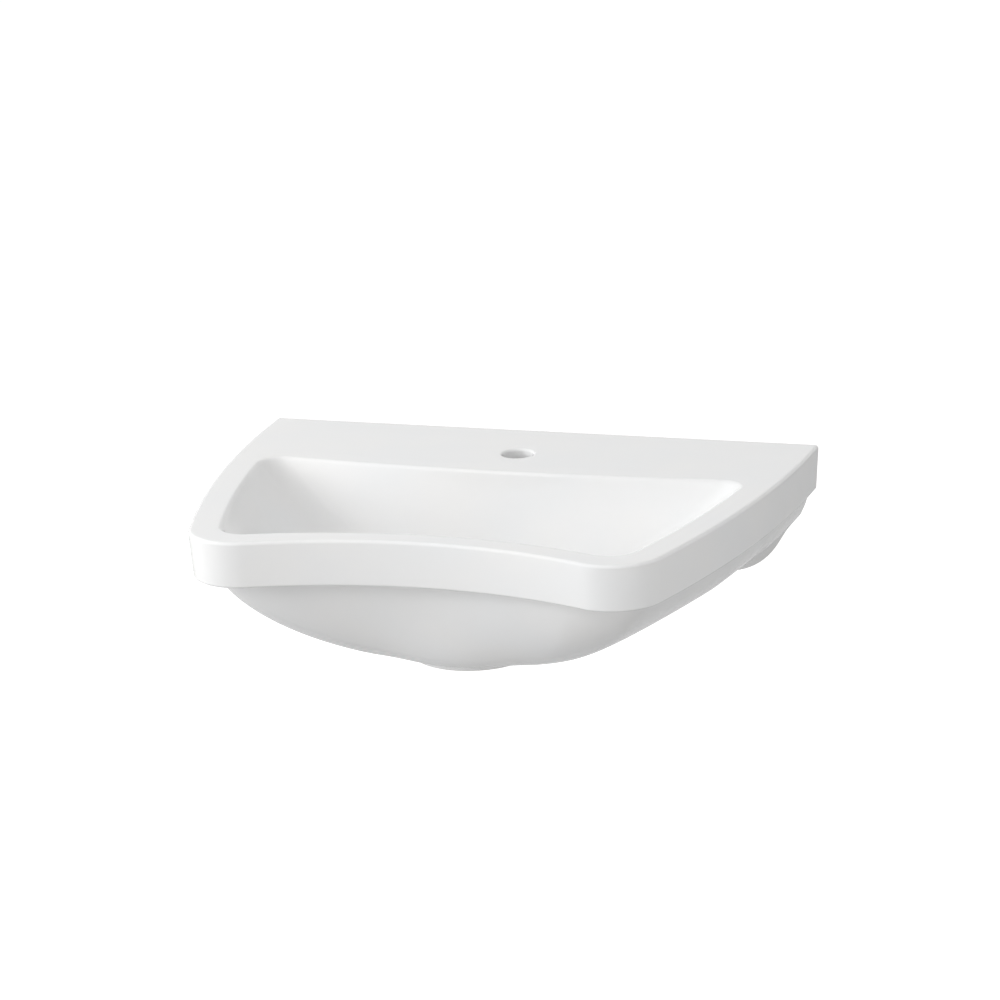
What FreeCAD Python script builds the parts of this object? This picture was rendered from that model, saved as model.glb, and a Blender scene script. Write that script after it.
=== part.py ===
import FreeCAD, Part
import math
import os

# Wall hung basin.  Millimetres, +Z up.  The wall is the plane y = 0 and the bowl stands out
# towards -Y.  The origin lies on the wall face, midway between the two fixing holes.

V = FreeCAD.Vector
UP = V(0, 0, 1)
OUT = V(0, 1, 0)

# ---- plan of the rim: side arcs square to the wall, rounded lobes, one hollow front arc ----
WIDTH = 640.0           # over the two ends at the wall
FRONT_MID = 430.0       # projection from the wall at the middle of the front
FRONT_LOBE = 470.0      # projection at the two lobes
SIDE_R = 1546.0         # radius of each side arc
LOBE_R = 88.0           # radius of each front lobe

# ---- levels, measured from the fixing holes ----
RIM_Z = 75.0            # rim top above the fixing holes
APRON_H = 50.0          # height of the upright apron
BODY_DEPTH = 164.0      # rim top to the flat of the belly
FOOT_DROP = 10.0        # how far the outlet ring stands below the belly

# ---- rim and apron ----
APRON_DRAFT = 3.5       # how much narrower the apron is at its lower edge
RIM_ROUND = 9.0         # outer top edge
APRON_ROUND = 8.0       # outer lower edge
MOUTH_ROUND = 7.0       # edge of the bowl

# ---- bowl ----
RIM_SIDE = 40.0         # rim width at the sides
RIM_FRONT = 30.0        # rim width at the middle of the front
BOWL_LOBE = 430.0       # projection of the bowl's front corners
BOWL_LOBE_R = 40.0      # radius of those corners
DECK = 163.0            # rear deck, wall to bowl at the middle
BACK_R = 3700.0         # bow of the bowl's rear edge
BACK_CORNER_R = 24.0    # rear corners of the bowl
BOWL_DEPTH = 126.0      # rim top to the bowl floor at the outlet
FLOOR_LAND = 5.0        # level floor round the flange
BOWL_DROP = 1.6         # larger keeps the wall steep for longer
BOWL_TURN = 1.5         # larger turns into the floor later
BOWL_SOFT = 0.9         # how far the corners melt into an oval near the floor
BOWL_SOFT_IN = 45.0     # how much narrower than the mouth that oval is, each side
BOWL_FALLS = [0.0, 0.08, 0.18, 0.30, 0.44, 0.58, 0.72, 0.84, 0.93, 0.98, 1.0]     # its sections

# ---- belly under the apron ----
BELLY_Y = -226.0        # the belly's sections close in on this line
BELLY_INSET = 19.0      # ledge under the apron at the front
BELLY_FLAT_R = 118.0    # radius of the flat bottom towards the front
BELLY_DROP = 1.12       # front profile: how soon it leaves the upright
BELLY_TURN = 1.43       # front profile: how late it turns into the flat
BELLY_BLEND = 1.19      # how fast the side profile gives way to the front one
BELLY_SIDE_INSET = 3.5  # ledge under the apron at the sides
BELLY_SIDE_FLAT = 108.0  # half width of the flat bottom at the sides
SIDE_DROP = 1.6         # side profile, as for the front one
SIDE_TURN = 1.3
LAST_STEP = 1.0         # the last two sections are no closer than this
BEHIND_WALL = 300.0     # the sections run on behind the wall and are cut there
BELLY_FALLS = [0.06, 0.13, 0.22, 0.33, 0.46, 0.59, 0.72, 0.83, 0.91, 0.965, 0.99]  # its sections

# ---- skirt against the wall ----
SKIRT_HALF = 285.0      # half width at the wall
SKIRT_DEPTH = 152.0     # rim top to its lower edge
SKIRT_R = 58.0          # lower corners
SKIRT_REACH = 120.0     # how far it fades into the belly
SKIRT_FADE = 100.0      # how much it closes in over that reach

# ---- walls and hollows of the casting ----
SHELL = 12.0            # outer wall
BOWL_WALL = 11.0        # wall round the bowl
DECK_T = 15.0           # deck over the hollow
WALL_PLATE = 18.0       # plate that lies on the wall
HOLLOW_FRONT = 300.0    # how far forward the hollow runs beside the bowl
ACCESS_HALF = 165.0     # half width of the opening underneath
ACCESS_R = 25.0         # its corners

# ---- tap hole ----
TAP_Y = -92.0
TAP_R = 17.5
TAP_ROUND = 3.0

# ---- outlet ----
OUTLET_Y = -270.0
OUTLET_R = 23.0         # hole through the china
FOOT_R = 55.0           # outlet ring outside
FOOT_DRAFT = 2.0
POCKET_R = 37.0         # pocket inside the ring, for the nut and the trap
OUTLET_T = 11.0         # china under the waste's flange

# ---- fixing set ----
FIX_SPACING = 280.0
FIX_HOLE_R = 8.0
STUD_R = 5.0            # M10
STUD_BEHIND = 62.0      # length in the wall
STUD_POINT = 9.0
STUD_FREE = 10.0        # thread past the nut
PLUG_R = 7.0            # nylon wall plug
PLUG_TIP = 6.0
PLUG_TIP_T = 0.5        # wall left round the bore at the tip
PLUG_SLIT = 1.6
PLUG_GAP = 0.5          # plug set back into the wall
BUSH_FIT = 0.3          # bush inside the hole
STUD_FIT = 0.1          # bores round the stud
BUSH_SHORT = 1.0        # bush ends this far inside the wall face
BUSH_FLANGE_R = 14.0
BUSH_FLANGE_T = 3.0
WASHER_R = 12.5
WASHER_T = 2.0
NUT_AF = 17.0
NUT_T = 8.0

# ---- waste ----
THREAD_R = 20.955       # G 1 1/4
THREAD_DEPTH = 0.6      # plain neck under the flange, and a groove where the nut's thread ends
GROOVE_W = 1.0
THROAT_R = 18.0
FLANGE_R = 31.5
FLANGE_T = 3.0
FLANGE_LIP = 2.0        # rounded lip round the flange
LIP_DROP = 0.8
DISH = 5.0              # depth of the dish at the throat
FLANGE_SEAL_T = 2.0
FLANGE_SEAL_IN = 0.5    # seal's edge under the flange's edge
RECESS_FIT = 1.0        # recess round the flange
TAIL_BELOW = 7.0        # tail below the outlet ring
SEAL_T = 8.0            # tapered seal under the china
SEAL_R = 31.0
SEAL_TIP_R = 27.0
SLIP_T = 2.0
SLIP_R = 30.0
BACKNUT_AF = 52.0
BACKNUT_T = 9.0
COLLAR_T = 2.5          # round collar of the back nut
TAIL_CHAMFER = 1.5
THREAD_FIT = 0.1
BAR_T = 4.0             # cross bar in the throat
BAR_W = 4.0
BARS = 3
BAR_IN = 1.0            # spokes run this far into the throat's wall
BOSS_R = 6.5

# ---- plug and its push cartridge ----
TRAVEL = 9.0            # shut to open
CAP_R = 30.5
CAP_EDGE = 2.8          # height of the cap's edge
CAP_CROWN = 3.0         # rise of the dome above it
CAP_ROUND = 1.6
CAP_FULL = 0.78         # share of the crown reached at half the radius
CAP_REST = 0.8          # gap under the shut cap's rim
CAP_BOSS_R = 7.0
RING_R = 26.5           # plug seal, middle of its section
RING_T = 1.7            # its section's radius
RING_DROP = 0.6         # its middle, below the cap's lower rim
SPIGOT_R = 24.7         # spigot inside the seal
SPIGOT_DROP = 2.0
CAP_BOSS_DROP = 6.4
STEM_R = 4.0            # M8
PLUNGER_R = 6.0
PLUNGER_L = 8.0
ROTOR_L = 3.5
PIN_R = 2.1             # plunger's pin through the rotor
PIN_PAST = 1.4
NOTCHES = 8
NOTCH_W = 1.5
CASE_R = 8.2
CASE_TOP = 7.0          # under the flange's top
CASE_LIP = 1.2
CASE_DEPTH = 32.0       # flange top to the inside floor
CASE_FLOOR = 1.5
SPIGOT_PAST = 1.0       # case's threaded spigot past its nut
SLIDE_FIT = 0.06        # plunger in its case
STEM_FIT = 0.3          # loose fits that only clear
LOCKNUT_AF = 13.0
LOCKNUT_T = 4.0
SPRING_WIRE = 0.6
SPRING_R = 4.4
SPRING_TURNS = 4
WIRE_SIDES = 8

# ---- worked out from the values above ----
APRON_Z = RIM_Z - APRON_H
BELLY_Z = RIM_Z - BODY_DEPTH
FOOT_Z = BELLY_Z - FOOT_DROP
FLOOR_Z = RIM_Z - BOWL_DEPTH
SEAT_Z = FLOOR_Z - FLANGE_T - FLANGE_SEAL_T     # under the flange seal
UNDER_Z = SEAT_Z - OUTLET_T                     # underside of the china at the outlet
SIDE_X = WIDTH / 2 - SIDE_R                     # centre of the right side arc
OUTLET = V(0, OUTLET_Y, 0)
CAP_Z = FLOOR_Z + CAP_REST + TRAVEL             # lower rim of the open cap


# ------------------------------------------------------------------ helpers

def arc(centre, radius, start, end, z):
    """Arc edge about a plan centre, from one angle to another in radians."""
    def at(angle):
        return V(centre[0] + radius * math.cos(angle), centre[1] + radius * math.sin(angle), z)
    return Part.Arc(at(start), at((start + end) / 2), at(end)).toShape()


def front_arcs(mid, lobe, lobe_r, side_r):
    """Centres of the lobe and of the hollow front arc, tangent to a side arc of side_r.

    Returns the lobe's centre, the front arc's centre and its radius, and the two joint angles."""
    lobe_y = lobe_r - lobe
    lobe_x = SIDE_X + math.sqrt((side_r - lobe_r) ** 2 - lobe_y ** 2)
    step = mid + lobe_y
    wave_r = (lobe_x ** 2 + step ** 2 - lobe_r ** 2) / (2 * (lobe_r - step))
    wave_y = -(mid + wave_r)
    side_end = math.atan2(lobe_y, lobe_x - SIDE_X)
    lobe_end = math.atan2(wave_y - lobe_y, -lobe_x)
    return (lobe_x, lobe_y), (0.0, wave_y), wave_r, side_end, lobe_end


def along(centre, radius, start, end, count):
    """Points along an arc, the first left out and the last kept."""
    step = (end - start) / count
    turns = [start + step * (i + 1) for i in range(count)]
    return [(centre[0] + radius * math.cos(a), centre[1] + radius * math.sin(a)) for a in turns]


def mirrored(points):
    """The right half's points, back to front, followed by the left half's, front to back."""
    left = [(-x, y) for x, y in reversed(points) if x > 1e-6]
    return points + left


def tube(r_out, r_in, z_low, z_high):
    """Upright tube on the outlet's axis."""
    outer = Part.makeCylinder(r_out, z_high - z_low, OUTLET + UP * z_low, UP)
    return outer.cut(Part.makeCylinder(r_in, z_high - z_low, OUTLET + UP * z_low, UP))


def turned(profile):
    """Solid of revolution on the outlet's axis from (radius, z) corners."""
    corners = [OUTLET + V(r, 0, z) for r, z in profile]
    face = Part.Face(Part.makePolygon(corners + corners[:1]))
    return face.revolve(OUTLET, UP, 360)


def hexagon(across_flats, height, centre, axis):
    """Hexagonal prism standing on centre along axis."""
    prism = Part.makeCylinder(across_flats / math.sqrt(3), height, centre, axis)
    side = axis.cross(V(1, 0, 0)).normalize()
    for i in range(6):
        flat = Part.makeBox(across_flats, across_flats, height)
        flat.translate(V(-across_flats / 2, across_flats / 2, 0))
        flat.rotate(V(0, 0, 0), UP, 60 * i)
        flat.Placement = FreeCAD.Placement(centre, FreeCAD.Rotation(UP, axis)).multiply(flat.Placement)
        prism = prism.cut(flat)
    return prism


# ------------------------------------------------------------------ the china

def rim_wire(z, inset):
    """Plan of the rim at height z, set in by inset, closed along the wall."""
    lobe_c, wave_c, wave_r, side_end, lobe_end = front_arcs(FRONT_MID, FRONT_LOBE, LOBE_R, SIDE_R)
    half = WIDTH / 2 - inset
    wave_end = math.atan2(lobe_c[1] - wave_c[1], lobe_c[0] - wave_c[0])
    right = [arc((SIDE_X, 0), SIDE_R - inset, 0, side_end, z),
             arc(lobe_c, LOBE_R - inset, side_end, lobe_end, z)]
    front = arc(wave_c, wave_r + inset, wave_end, math.pi - wave_end, z)
    left = [edge.mirror(V(0, 0, 0), V(1, 0, 0)) for edge in reversed(right)]
    back = Part.makeLine(V(-half, 0, z), V(half, 0, z))
    return Part.Wire(Part.__sortEdges__([back] + right + [front] + left))


def rim_slab():
    """Deck, rim and drafted apron as one slab, with its outer edges rounded."""
    slab = Part.makeLoft([rim_wire(APRON_Z, APRON_DRAFT), rim_wire(RIM_Z, 0)], True, True)
    top = [e for e in slab.Edges if flat_at(e, RIM_Z) and not on_wall(e)]
    slab = slab.makeFillet(RIM_ROUND, top)
    low = [e for e in slab.Edges if flat_at(e, APRON_Z) and not on_wall(e)]
    return slab.makeFillet(APRON_ROUND, low)


def flat_at(edge, z):
    """True for an edge that lies wholly at height z."""
    box = edge.BoundBox
    return abs(box.ZMin - z) < 0.01 and abs(box.ZMax - z) < 0.01


def on_wall(edge):
    """True for an edge that lies in the wall plane."""
    return abs(edge.BoundBox.YMin) < 0.01 and abs(edge.BoundBox.YMax) < 0.01


def belly_stations(inset):
    """Points round the belly's widest section, behind the wall to the front and back again."""
    lobe_c, wave_c, wave_r, side_end, lobe_end = front_arcs(FRONT_MID, FRONT_LOBE, LOBE_R, SIDE_R)
    half = WIDTH / 2 - inset
    wave_start = math.atan2(lobe_c[1] - wave_c[1], lobe_c[0])
    right = [(half, BEHIND_WALL), (half, BEHIND_WALL / 2), (half, 0)]
    right += along((SIDE_X, 0), SIDE_R - inset, 0, side_end, 4)
    right += along(lobe_c, LOBE_R - inset, side_end, lobe_end, 4)
    right += along(wave_c, wave_r + inset, wave_start, math.pi / 2, 3)
    return mirrored(right)


def sweep_in(fall, drop, turn):
    """Share of its reach that a curved wall still has after a share of its fall."""
    fall = min(max(fall, 0.0), 1.0)
    return (1 - fall ** drop) ** (1 / turn)


def belly_wire(depth, wall):
    """Section of the belly at a depth under the rim top, set in by a wall thickness.

    Each point of the widest section moves in towards BELLY_Y: by the side profile beside and
    behind that line, and more and more by the front profile ahead of it."""
    fall = (depth - APRON_H) / (BODY_DEPTH - APRON_H)
    half = WIDTH / 2 - APRON_DRAFT
    side_reach = half - BELLY_SIDE_INSET - BELLY_SIDE_FLAT
    side = (BELLY_SIDE_FLAT + side_reach * sweep_in(fall, SIDE_DROP, SIDE_TURN)) / half
    reach = sweep_in(fall, BELLY_DROP, BELLY_TURN)
    points = []
    for x, y in belly_stations(APRON_DRAFT):
        far = math.hypot(x, y - BELLY_Y)
        ahead = max(0.0, (BELLY_Y - y) / far) ** BELLY_BLEND
        front = BELLY_FLAT_R + (far - BELLY_INSET - BELLY_FLAT_R) * reach
        r = far * side * (1 - ahead) + front * ahead - wall
        points.append(V(x * r / far, BELLY_Y + (y - BELLY_Y) * r / far, RIM_Z - depth))
    curve = Part.BSplineCurve()
    curve.interpolate(Points=points)
    return Part.Wire([curve.toShape(), Part.makeLine(points[-1], points[0])])


def room_in_front_of_wall(gap):
    """Everything more than gap in front of the wall."""
    size = 2 * WIDTH
    return Part.makeBox(size, size, size, V(-size / 2, -size - gap, -size / 2))


def belly_depths(first, last):
    """Depths for the belly's sections, closer together where the wall turns faster."""
    run = [APRON_H + f * (BODY_DEPTH - APRON_H) for f in BELLY_FALLS]
    return [first, APRON_H] + [d for d in run if d < last - LAST_STEP] + [last]


def belly():
    """The casting's underside, cut off at the wall."""
    depths = belly_depths(APRON_H - APRON_ROUND - BELLY_SIDE_INSET, BODY_DEPTH)
    solid = Part.makeLoft([belly_wire(d, 0) for d in depths], True, False)
    return solid.common(room_in_front_of_wall(0))


def skirt_wire(y, half, depth):
    """Section of the skirt across the wall: flat top inside the apron, rounded lower corners."""
    top = RIM_Z - APRON_H + APRON_ROUND
    low = RIM_Z - depth
    corners = [V(-half, y, top), V(half, y, top), V(half, y, low + SKIRT_R)]
    turn = SKIRT_R * (1 - math.sqrt(0.5))
    right = Part.Arc(corners[2], V(half - turn, y, low + turn), V(half - SKIRT_R, y, low))
    left = Part.Arc(V(SKIRT_R - half, y, low), V(turn - half, y, low + turn), V(-half, y, low + SKIRT_R))
    edges = [Part.makeLine(corners[0], corners[1]), Part.makeLine(corners[1], corners[2]),
             right.toShape(), Part.makeLine(V(half - SKIRT_R, y, low), V(SKIRT_R - half, y, low)),
             left.toShape(), Part.makeLine(V(-half, y, low + SKIRT_R), corners[0])]
    return Part.Wire(edges)


def skirt(wall):
    """Skirt that carries the casting down the wall and fades into the belly."""
    near = skirt_wire(0, SKIRT_HALF - wall, SKIRT_DEPTH - wall)
    far = skirt_wire(-SKIRT_REACH, SKIRT_HALF - SKIRT_FADE - wall, SKIRT_DEPTH - wall)
    return Part.makeLoft([near, far], True, True)


def bowl_stations():
    """Points round the bowl's mouth, rear middle to front middle and back again."""
    side_r = SIDE_R - RIM_SIDE
    lobe_c, wave_c, wave_r, side_end, lobe_end = front_arcs(
        FRONT_MID - RIM_FRONT, BOWL_LOBE, BOWL_LOBE_R, side_r)
    back_c = (0.0, BACK_R - DECK)
    corner_x, corner_y = WIDTH / 2 - RIM_SIDE, -DECK
    for _ in range(8):
        corner_x = SIDE_X + math.sqrt((side_r - BACK_CORNER_R) ** 2 - corner_y ** 2)
        corner_y = back_c[1] - math.sqrt((BACK_R + BACK_CORNER_R) ** 2 - corner_x ** 2)
    corner = (corner_x, corner_y)
    back_end = math.atan2(corner_y - back_c[1], corner_x)
    side_start = math.atan2(corner_y, corner_x - SIDE_X)
    wave_start = math.atan2(lobe_c[1] - wave_c[1], lobe_c[0])
    right = [(0.0, -DECK)]
    right += along(back_c, BACK_R, -math.pi / 2, back_end, 4)
    right += along(corner, BACK_CORNER_R, back_end + math.pi, side_start, 4)
    right += along((SIDE_X, 0), side_r, side_start, side_end, 4)
    right += along(lobe_c, BOWL_LOBE_R, side_end, lobe_end, 4)
    right += along(wave_c, wave_r, wave_start, math.pi / 2, 3)
    return mirrored(right)


def bowl_wire(depth, wall):
    """Section of the bowl at a depth under the rim top, grown by a wall thickness."""
    fall = depth / BOWL_DEPTH
    reach = sweep_in(fall, BOWL_DROP, BOWL_TURN)
    floor_r = FLANGE_R + RECESS_FIT + FLOOR_LAND
    across = WIDTH / 2 - RIM_SIDE - BOWL_SOFT_IN
    behind = -OUTLET_Y - DECK
    ahead = FRONT_MID - RIM_FRONT + OUTLET_Y
    points = []
    for x, y in bowl_stations():
        far = math.hypot(x, y - OUTLET_Y)
        deep = behind if y > OUTLET_Y else ahead
        oval = far / math.hypot(x / across, (y - OUTLET_Y) / deep)
        soft = far + (oval - far) * BOWL_SOFT * fall
        r = floor_r + (soft - floor_r) * reach + wall
        points.append(V(x * r / far, OUTLET_Y + (y - OUTLET_Y) * r / far, RIM_Z - depth))
    curve = Part.BSplineCurve()
    curve.interpolate(Points=points, PeriodicFlag=True)
    return Part.Wire([curve.toShape()])


def bowl(wall):
    """The bowl's space, or with a wall thickness the outside of the wall round it."""
    wires = []
    for share in BOWL_FALLS:
        section = bowl_wire(share * BOWL_DEPTH, wall)
        section.translate(UP * (-wall * share))
        wires.append(section)
    return Part.makeLoft(wires, True, False)


def hollow():
    """Hollow of the casting behind and beside the bowl, open underneath near the wall."""
    depths = belly_depths(DECK_T, BODY_DEPTH - SHELL)
    room = Part.makeLoft([belly_wire(d, SHELL) for d in depths], True, False)
    room = room.fuse(skirt(SHELL))
    keep = Part.makeBox(WIDTH, HOLLOW_FRONT - WALL_PLATE, BODY_DEPTH,
                        V(-WIDTH / 2, -HOLLOW_FRONT, RIM_Z - DECK_T - BODY_DEPTH))
    access = Part.makeBox(2 * ACCESS_HALF, -OUTLET_Y - FOOT_R - SHELL - WALL_PLATE, BODY_DEPTH,
                          V(-ACCESS_HALF, OUTLET_Y + FOOT_R + SHELL, APRON_Z - BODY_DEPTH))
    access = access.makeFillet(ACCESS_R, [e for e in access.Edges if abs(e.tangentAt(0).z) > 0.9])
    return room.common(keep).fuse(access)


def tap_tool():
    """Tap hole with a rounded mouth."""
    centre = V(0, TAP_Y, RIM_Z)
    bore = Part.makeCylinder(TAP_R, 2 * DECK_T, centre - UP * (2 * DECK_T), UP)
    edge = TAP_R + TAP_ROUND
    flare = Part.makeCylinder(edge, TAP_ROUND, centre - UP * TAP_ROUND, UP)
    ring = Part.makeTorus(edge, TAP_ROUND, centre - UP * TAP_ROUND, UP)
    return bore.fuse(flare.cut(ring))


def basin_body():
    """The glazed casting in one piece."""
    foot = Part.makeCone(FOOT_R - FOOT_DRAFT, FOOT_R, FOOT_DROP + SHELL, OUTLET + UP * FOOT_Z, UP)
    body = rim_slab().fuse(belly()).fuse(skirt(0)).fuse(foot)
    body = body.cut(bowl(0))
    body = body.makeFillet(MOUTH_ROUND, [e for e in body.Edges if flat_at(e, RIM_Z) and is_mouth(e)])
    body = body.cut(hollow().cut(bowl(BOWL_WALL)))
    body = body.cut(tap_tool())
    recess = Part.makeCylinder(FLANGE_R + RECESS_FIT, BOWL_DEPTH, OUTLET + UP * SEAT_Z, UP)
    hole = Part.makeCylinder(OUTLET_R, BODY_DEPTH, OUTLET + UP * (SEAT_Z - BODY_DEPTH), UP)
    pocket = Part.makeCylinder(POCKET_R, BODY_DEPTH, OUTLET + UP * (UNDER_Z - BODY_DEPTH), UP)
    body = body.cut(recess).cut(hole).cut(pocket)
    for side in (-1, 1):
        centre = V(side * FIX_SPACING / 2, -2 * WALL_PLATE, 0)
        body = body.cut(Part.makeCylinder(FIX_HOLE_R, 3 * WALL_PLATE, centre, OUT))
    return body


def is_mouth(edge):
    """True for the bowl's edge: it stays clear of the wall and of the apron's face."""
    box = edge.BoundBox
    return box.YMax < -DECK / 2 and box.YMin > -(BOWL_LOBE + MOUTH_ROUND)


# ------------------------------------------------------------------ wall fixing set

def wall_plug(x):
    """Nylon plug in the wall: slit twice so that it spreads, with a tapered tip."""
    face = V(x, PLUG_GAP, 0)
    plug = Part.makeCylinder(PLUG_R, STUD_BEHIND - PLUG_TIP, face, OUT)
    tip = Part.makeCone(PLUG_R, STUD_R + STUD_FIT + PLUG_TIP_T, PLUG_TIP,
                        face + OUT * (STUD_BEHIND - PLUG_TIP), OUT)
    plug = plug.fuse(tip)
    slit = Part.makeBox(2 * PLUG_R, STUD_BEHIND, PLUG_SLIT,
                        V(x - PLUG_R, PLUG_GAP + STUD_BEHIND / 3, -PLUG_SLIT / 2))
    bore = Part.makeCylinder(STUD_R + STUD_FIT, STUD_BEHIND, face, OUT)
    return plug.cut(slit).cut(bore)


def hanger_stud(x):
    """Stud with a screw point in the wall and a machine thread through the china."""
    nut_end = WALL_PLATE + BUSH_FLANGE_T + WASHER_T + NUT_T
    start = V(x, -nut_end - STUD_FREE, 0)
    shank = STUD_FREE + nut_end + STUD_BEHIND - STUD_POINT
    stud = Part.makeCylinder(STUD_R, shank, start, OUT)
    chamfer = [e for e in stud.Edges if abs(e.BoundBox.YMin - start.y) < 0.01
               and abs(e.BoundBox.YMax - start.y) < 0.01]
    stud = stud.makeChamfer(STUD_R / 5, chamfer)
    return stud.fuse(Part.makeCone(STUD_R, STUD_R / 5, STUD_POINT, start + OUT * shank, OUT))


def stud_bush(x):
    """Nylon bush that keeps the stud off the china, flanged on the hollow's side."""
    flange = Part.makeCylinder(BUSH_FLANGE_R, BUSH_FLANGE_T, V(x, -WALL_PLATE - BUSH_FLANGE_T, 0), OUT)
    sleeve = Part.makeCylinder(FIX_HOLE_R - BUSH_FIT, WALL_PLATE - BUSH_SHORT, V(x, -WALL_PLATE, 0), OUT)
    bore = Part.makeCylinder(STUD_R + STUD_FIT, 2 * WALL_PLATE, V(x, -1.5 * WALL_PLATE, 0), OUT)
    return flange.fuse(sleeve).cut(bore)


def stud_washer(x):
    """Flat steel washer on the bush."""
    base = V(x, -WALL_PLATE - BUSH_FLANGE_T - WASHER_T, 0)
    bore = Part.makeCylinder(STUD_R + STUD_FIT, WASHER_T, base, OUT)
    return Part.makeCylinder(WASHER_R, WASHER_T, base, OUT).cut(bore)


def stud_nut(x):
    """Hexagon nut that pulls the basin to the wall."""
    base = V(x, -WALL_PLATE - BUSH_FLANGE_T - WASHER_T - NUT_T, 0)
    bore = Part.makeCylinder(STUD_R + STUD_FIT, NUT_T, base, OUT)
    return hexagon(NUT_AF, NUT_T, base, OUT).cut(bore)


# ------------------------------------------------------------------ waste

def waste_body():
    """Chromed brass waste: dished flange, threaded tail, and a cross bar with a boss."""
    flange_low = FLOOR_Z - FLANGE_T
    tail = FOOT_Z - TAIL_BELOW
    nut_low = UNDER_Z - SEAL_T - SLIP_T - BACKNUT_T
    neck = THREAD_R - THREAD_DEPTH
    body = turned([(THROAT_R, tail), (THREAD_R - TAIL_CHAMFER, tail),
                   (THREAD_R, tail + TAIL_CHAMFER), (THREAD_R, nut_low - GROOVE_W),
                   (neck, nut_low - GROOVE_W), (neck, nut_low), (THREAD_R, nut_low),
                   (THREAD_R, UNDER_Z), (neck, UNDER_Z), (neck, flange_low),
                   (FLANGE_R, flange_low), (FLANGE_R, FLOOR_Z - LIP_DROP),
                   (FLANGE_R - FLANGE_LIP / 2, FLOOR_Z),
                   (FLANGE_R - FLANGE_LIP, FLOOR_Z - LIP_DROP), (THROAT_R, FLOOR_Z - DISH)])
    return body.fuse(cross_bar())


def cross_bar():
    """Spokes in the throat that carry the cartridge's boss."""
    low = FLOOR_Z - CASE_DEPTH - CASE_FLOOR - BAR_T
    bar = Part.makeCylinder(BOSS_R, BAR_T, OUTLET + UP * low, UP)
    for i in range(BARS):
        spoke = Part.makeBox(THROAT_R + BAR_IN, BAR_W, BAR_T, V(0, -BAR_W / 2, 0))
        spoke.rotate(V(0, 0, 0), UP, 90 + 360 / BARS * i)
        spoke.translate(OUTLET + UP * low)
        bar = bar.fuse(spoke)
    return bar.cut(Part.makeCylinder(STEM_R + STUD_FIT, BAR_T, OUTLET + UP * low, UP))


def flange_seal():
    """Flat ring between the flange and the china."""
    return tube(FLANGE_R - FLANGE_SEAL_IN, THREAD_R + STEM_FIT, SEAT_Z, SEAT_Z + FLANGE_SEAL_T)


def tapered_seal():
    """Rubber cone that the back nut presses up round the hole."""
    return turned([(THREAD_R + STEM_FIT, UNDER_Z), (SEAL_R, UNDER_Z),
                   (SEAL_TIP_R, UNDER_Z - SEAL_T), (THREAD_R + STEM_FIT, UNDER_Z - SEAL_T)])


def slip_washer():
    """Nylon washer, so that the nut turns without dragging the seal."""
    top = UNDER_Z - SEAL_T
    return tube(SLIP_R, THREAD_R + STEM_FIT, top - SLIP_T, top)


def back_nut():
    """Large hexagon nut with a round collar against the washer."""
    top = UNDER_Z - SEAL_T - SLIP_T
    nut = hexagon(BACKNUT_AF, BACKNUT_T - COLLAR_T, OUTLET + UP * (top - BACKNUT_T), UP)
    nut = nut.fuse(Part.makeCylinder(SLIP_R, COLLAR_T, OUTLET + UP * (top - COLLAR_T), UP))
    return nut.cut(Part.makeCylinder(THREAD_R + THREAD_FIT, 2 * BACKNUT_T,
                                     OUTLET + UP * (top - 1.5 * BACKNUT_T), UP))


# ------------------------------------------------------------------ plug and push cartridge

def plug_cap():
    """Domed cap: skirted rim, spigot that carries the seal, and a boss for the stem."""
    top = V(0, 0, CAP_EDGE + CAP_CROWN)
    shoulder = V(CAP_R - CAP_ROUND, 0, CAP_EDGE)
    dome_mid = V(CAP_R / 2, 0, CAP_EDGE + CAP_CROWN * CAP_FULL)
    turn = CAP_ROUND * (1 - math.sqrt(0.5))
    groove_r = RING_R + RING_T + STUD_FIT
    groove_top = RING_T - RING_DROP + STUD_FIT
    under = [(CAP_R, 0), (groove_r, 0), (groove_r, groove_top), (SPIGOT_R, groove_top),
             (SPIGOT_R, -SPIGOT_DROP),
             (CAP_BOSS_R, -SPIGOT_DROP), (CAP_BOSS_R, -CAP_BOSS_DROP),
             (STEM_R + SLIDE_FIT, -CAP_BOSS_DROP), (STEM_R + SLIDE_FIT, STUD_FIT), (0, STUD_FIT)]
    corners = [V(r, 0, z) for r, z in under]
    edges = [Part.Arc(top, dome_mid, shoulder).toShape(),
             Part.Arc(shoulder, V(CAP_R - turn, 0, CAP_EDGE - turn),
                      V(CAP_R, 0, CAP_EDGE - CAP_ROUND)).toShape(),
             Part.makeLine(V(CAP_R, 0, CAP_EDGE - CAP_ROUND), corners[0])]
    edges += [Part.makeLine(a, b) for a, b in zip(corners, corners[1:])]
    edges += [Part.makeLine(corners[-1], top)]
    cap = Part.Face(Part.Wire(edges)).revolve(V(0, 0, 0), UP, 360)
    cap.translate(OUTLET + UP * CAP_Z)
    return cap


def plug_seal():
    """Rubber ring round the cap's spigot."""
    return Part.makeTorus(RING_R, RING_T, OUTLET + UP * (CAP_Z - RING_DROP), UP)


def plunger():
    """Sliding stem of the cartridge: screwed into the cap, with a pin that guides the rotor."""
    body_top = FLOOR_Z - CASE_TOP - CASE_LIP - STUD_FIT
    body_low = body_top - PLUNGER_L
    stem = Part.makeCylinder(STEM_R, CAP_Z - body_top, OUTLET + UP * body_top, UP)
    body = Part.makeCylinder(PLUNGER_R, PLUNGER_L, OUTLET + UP * body_low, UP)
    pin = Part.makeCylinder(PIN_R, ROTOR_L + PIN_PAST, OUTLET + UP * (body_low - ROTOR_L - PIN_PAST), UP)
    return body.fuse(stem).fuse(pin)


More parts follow.
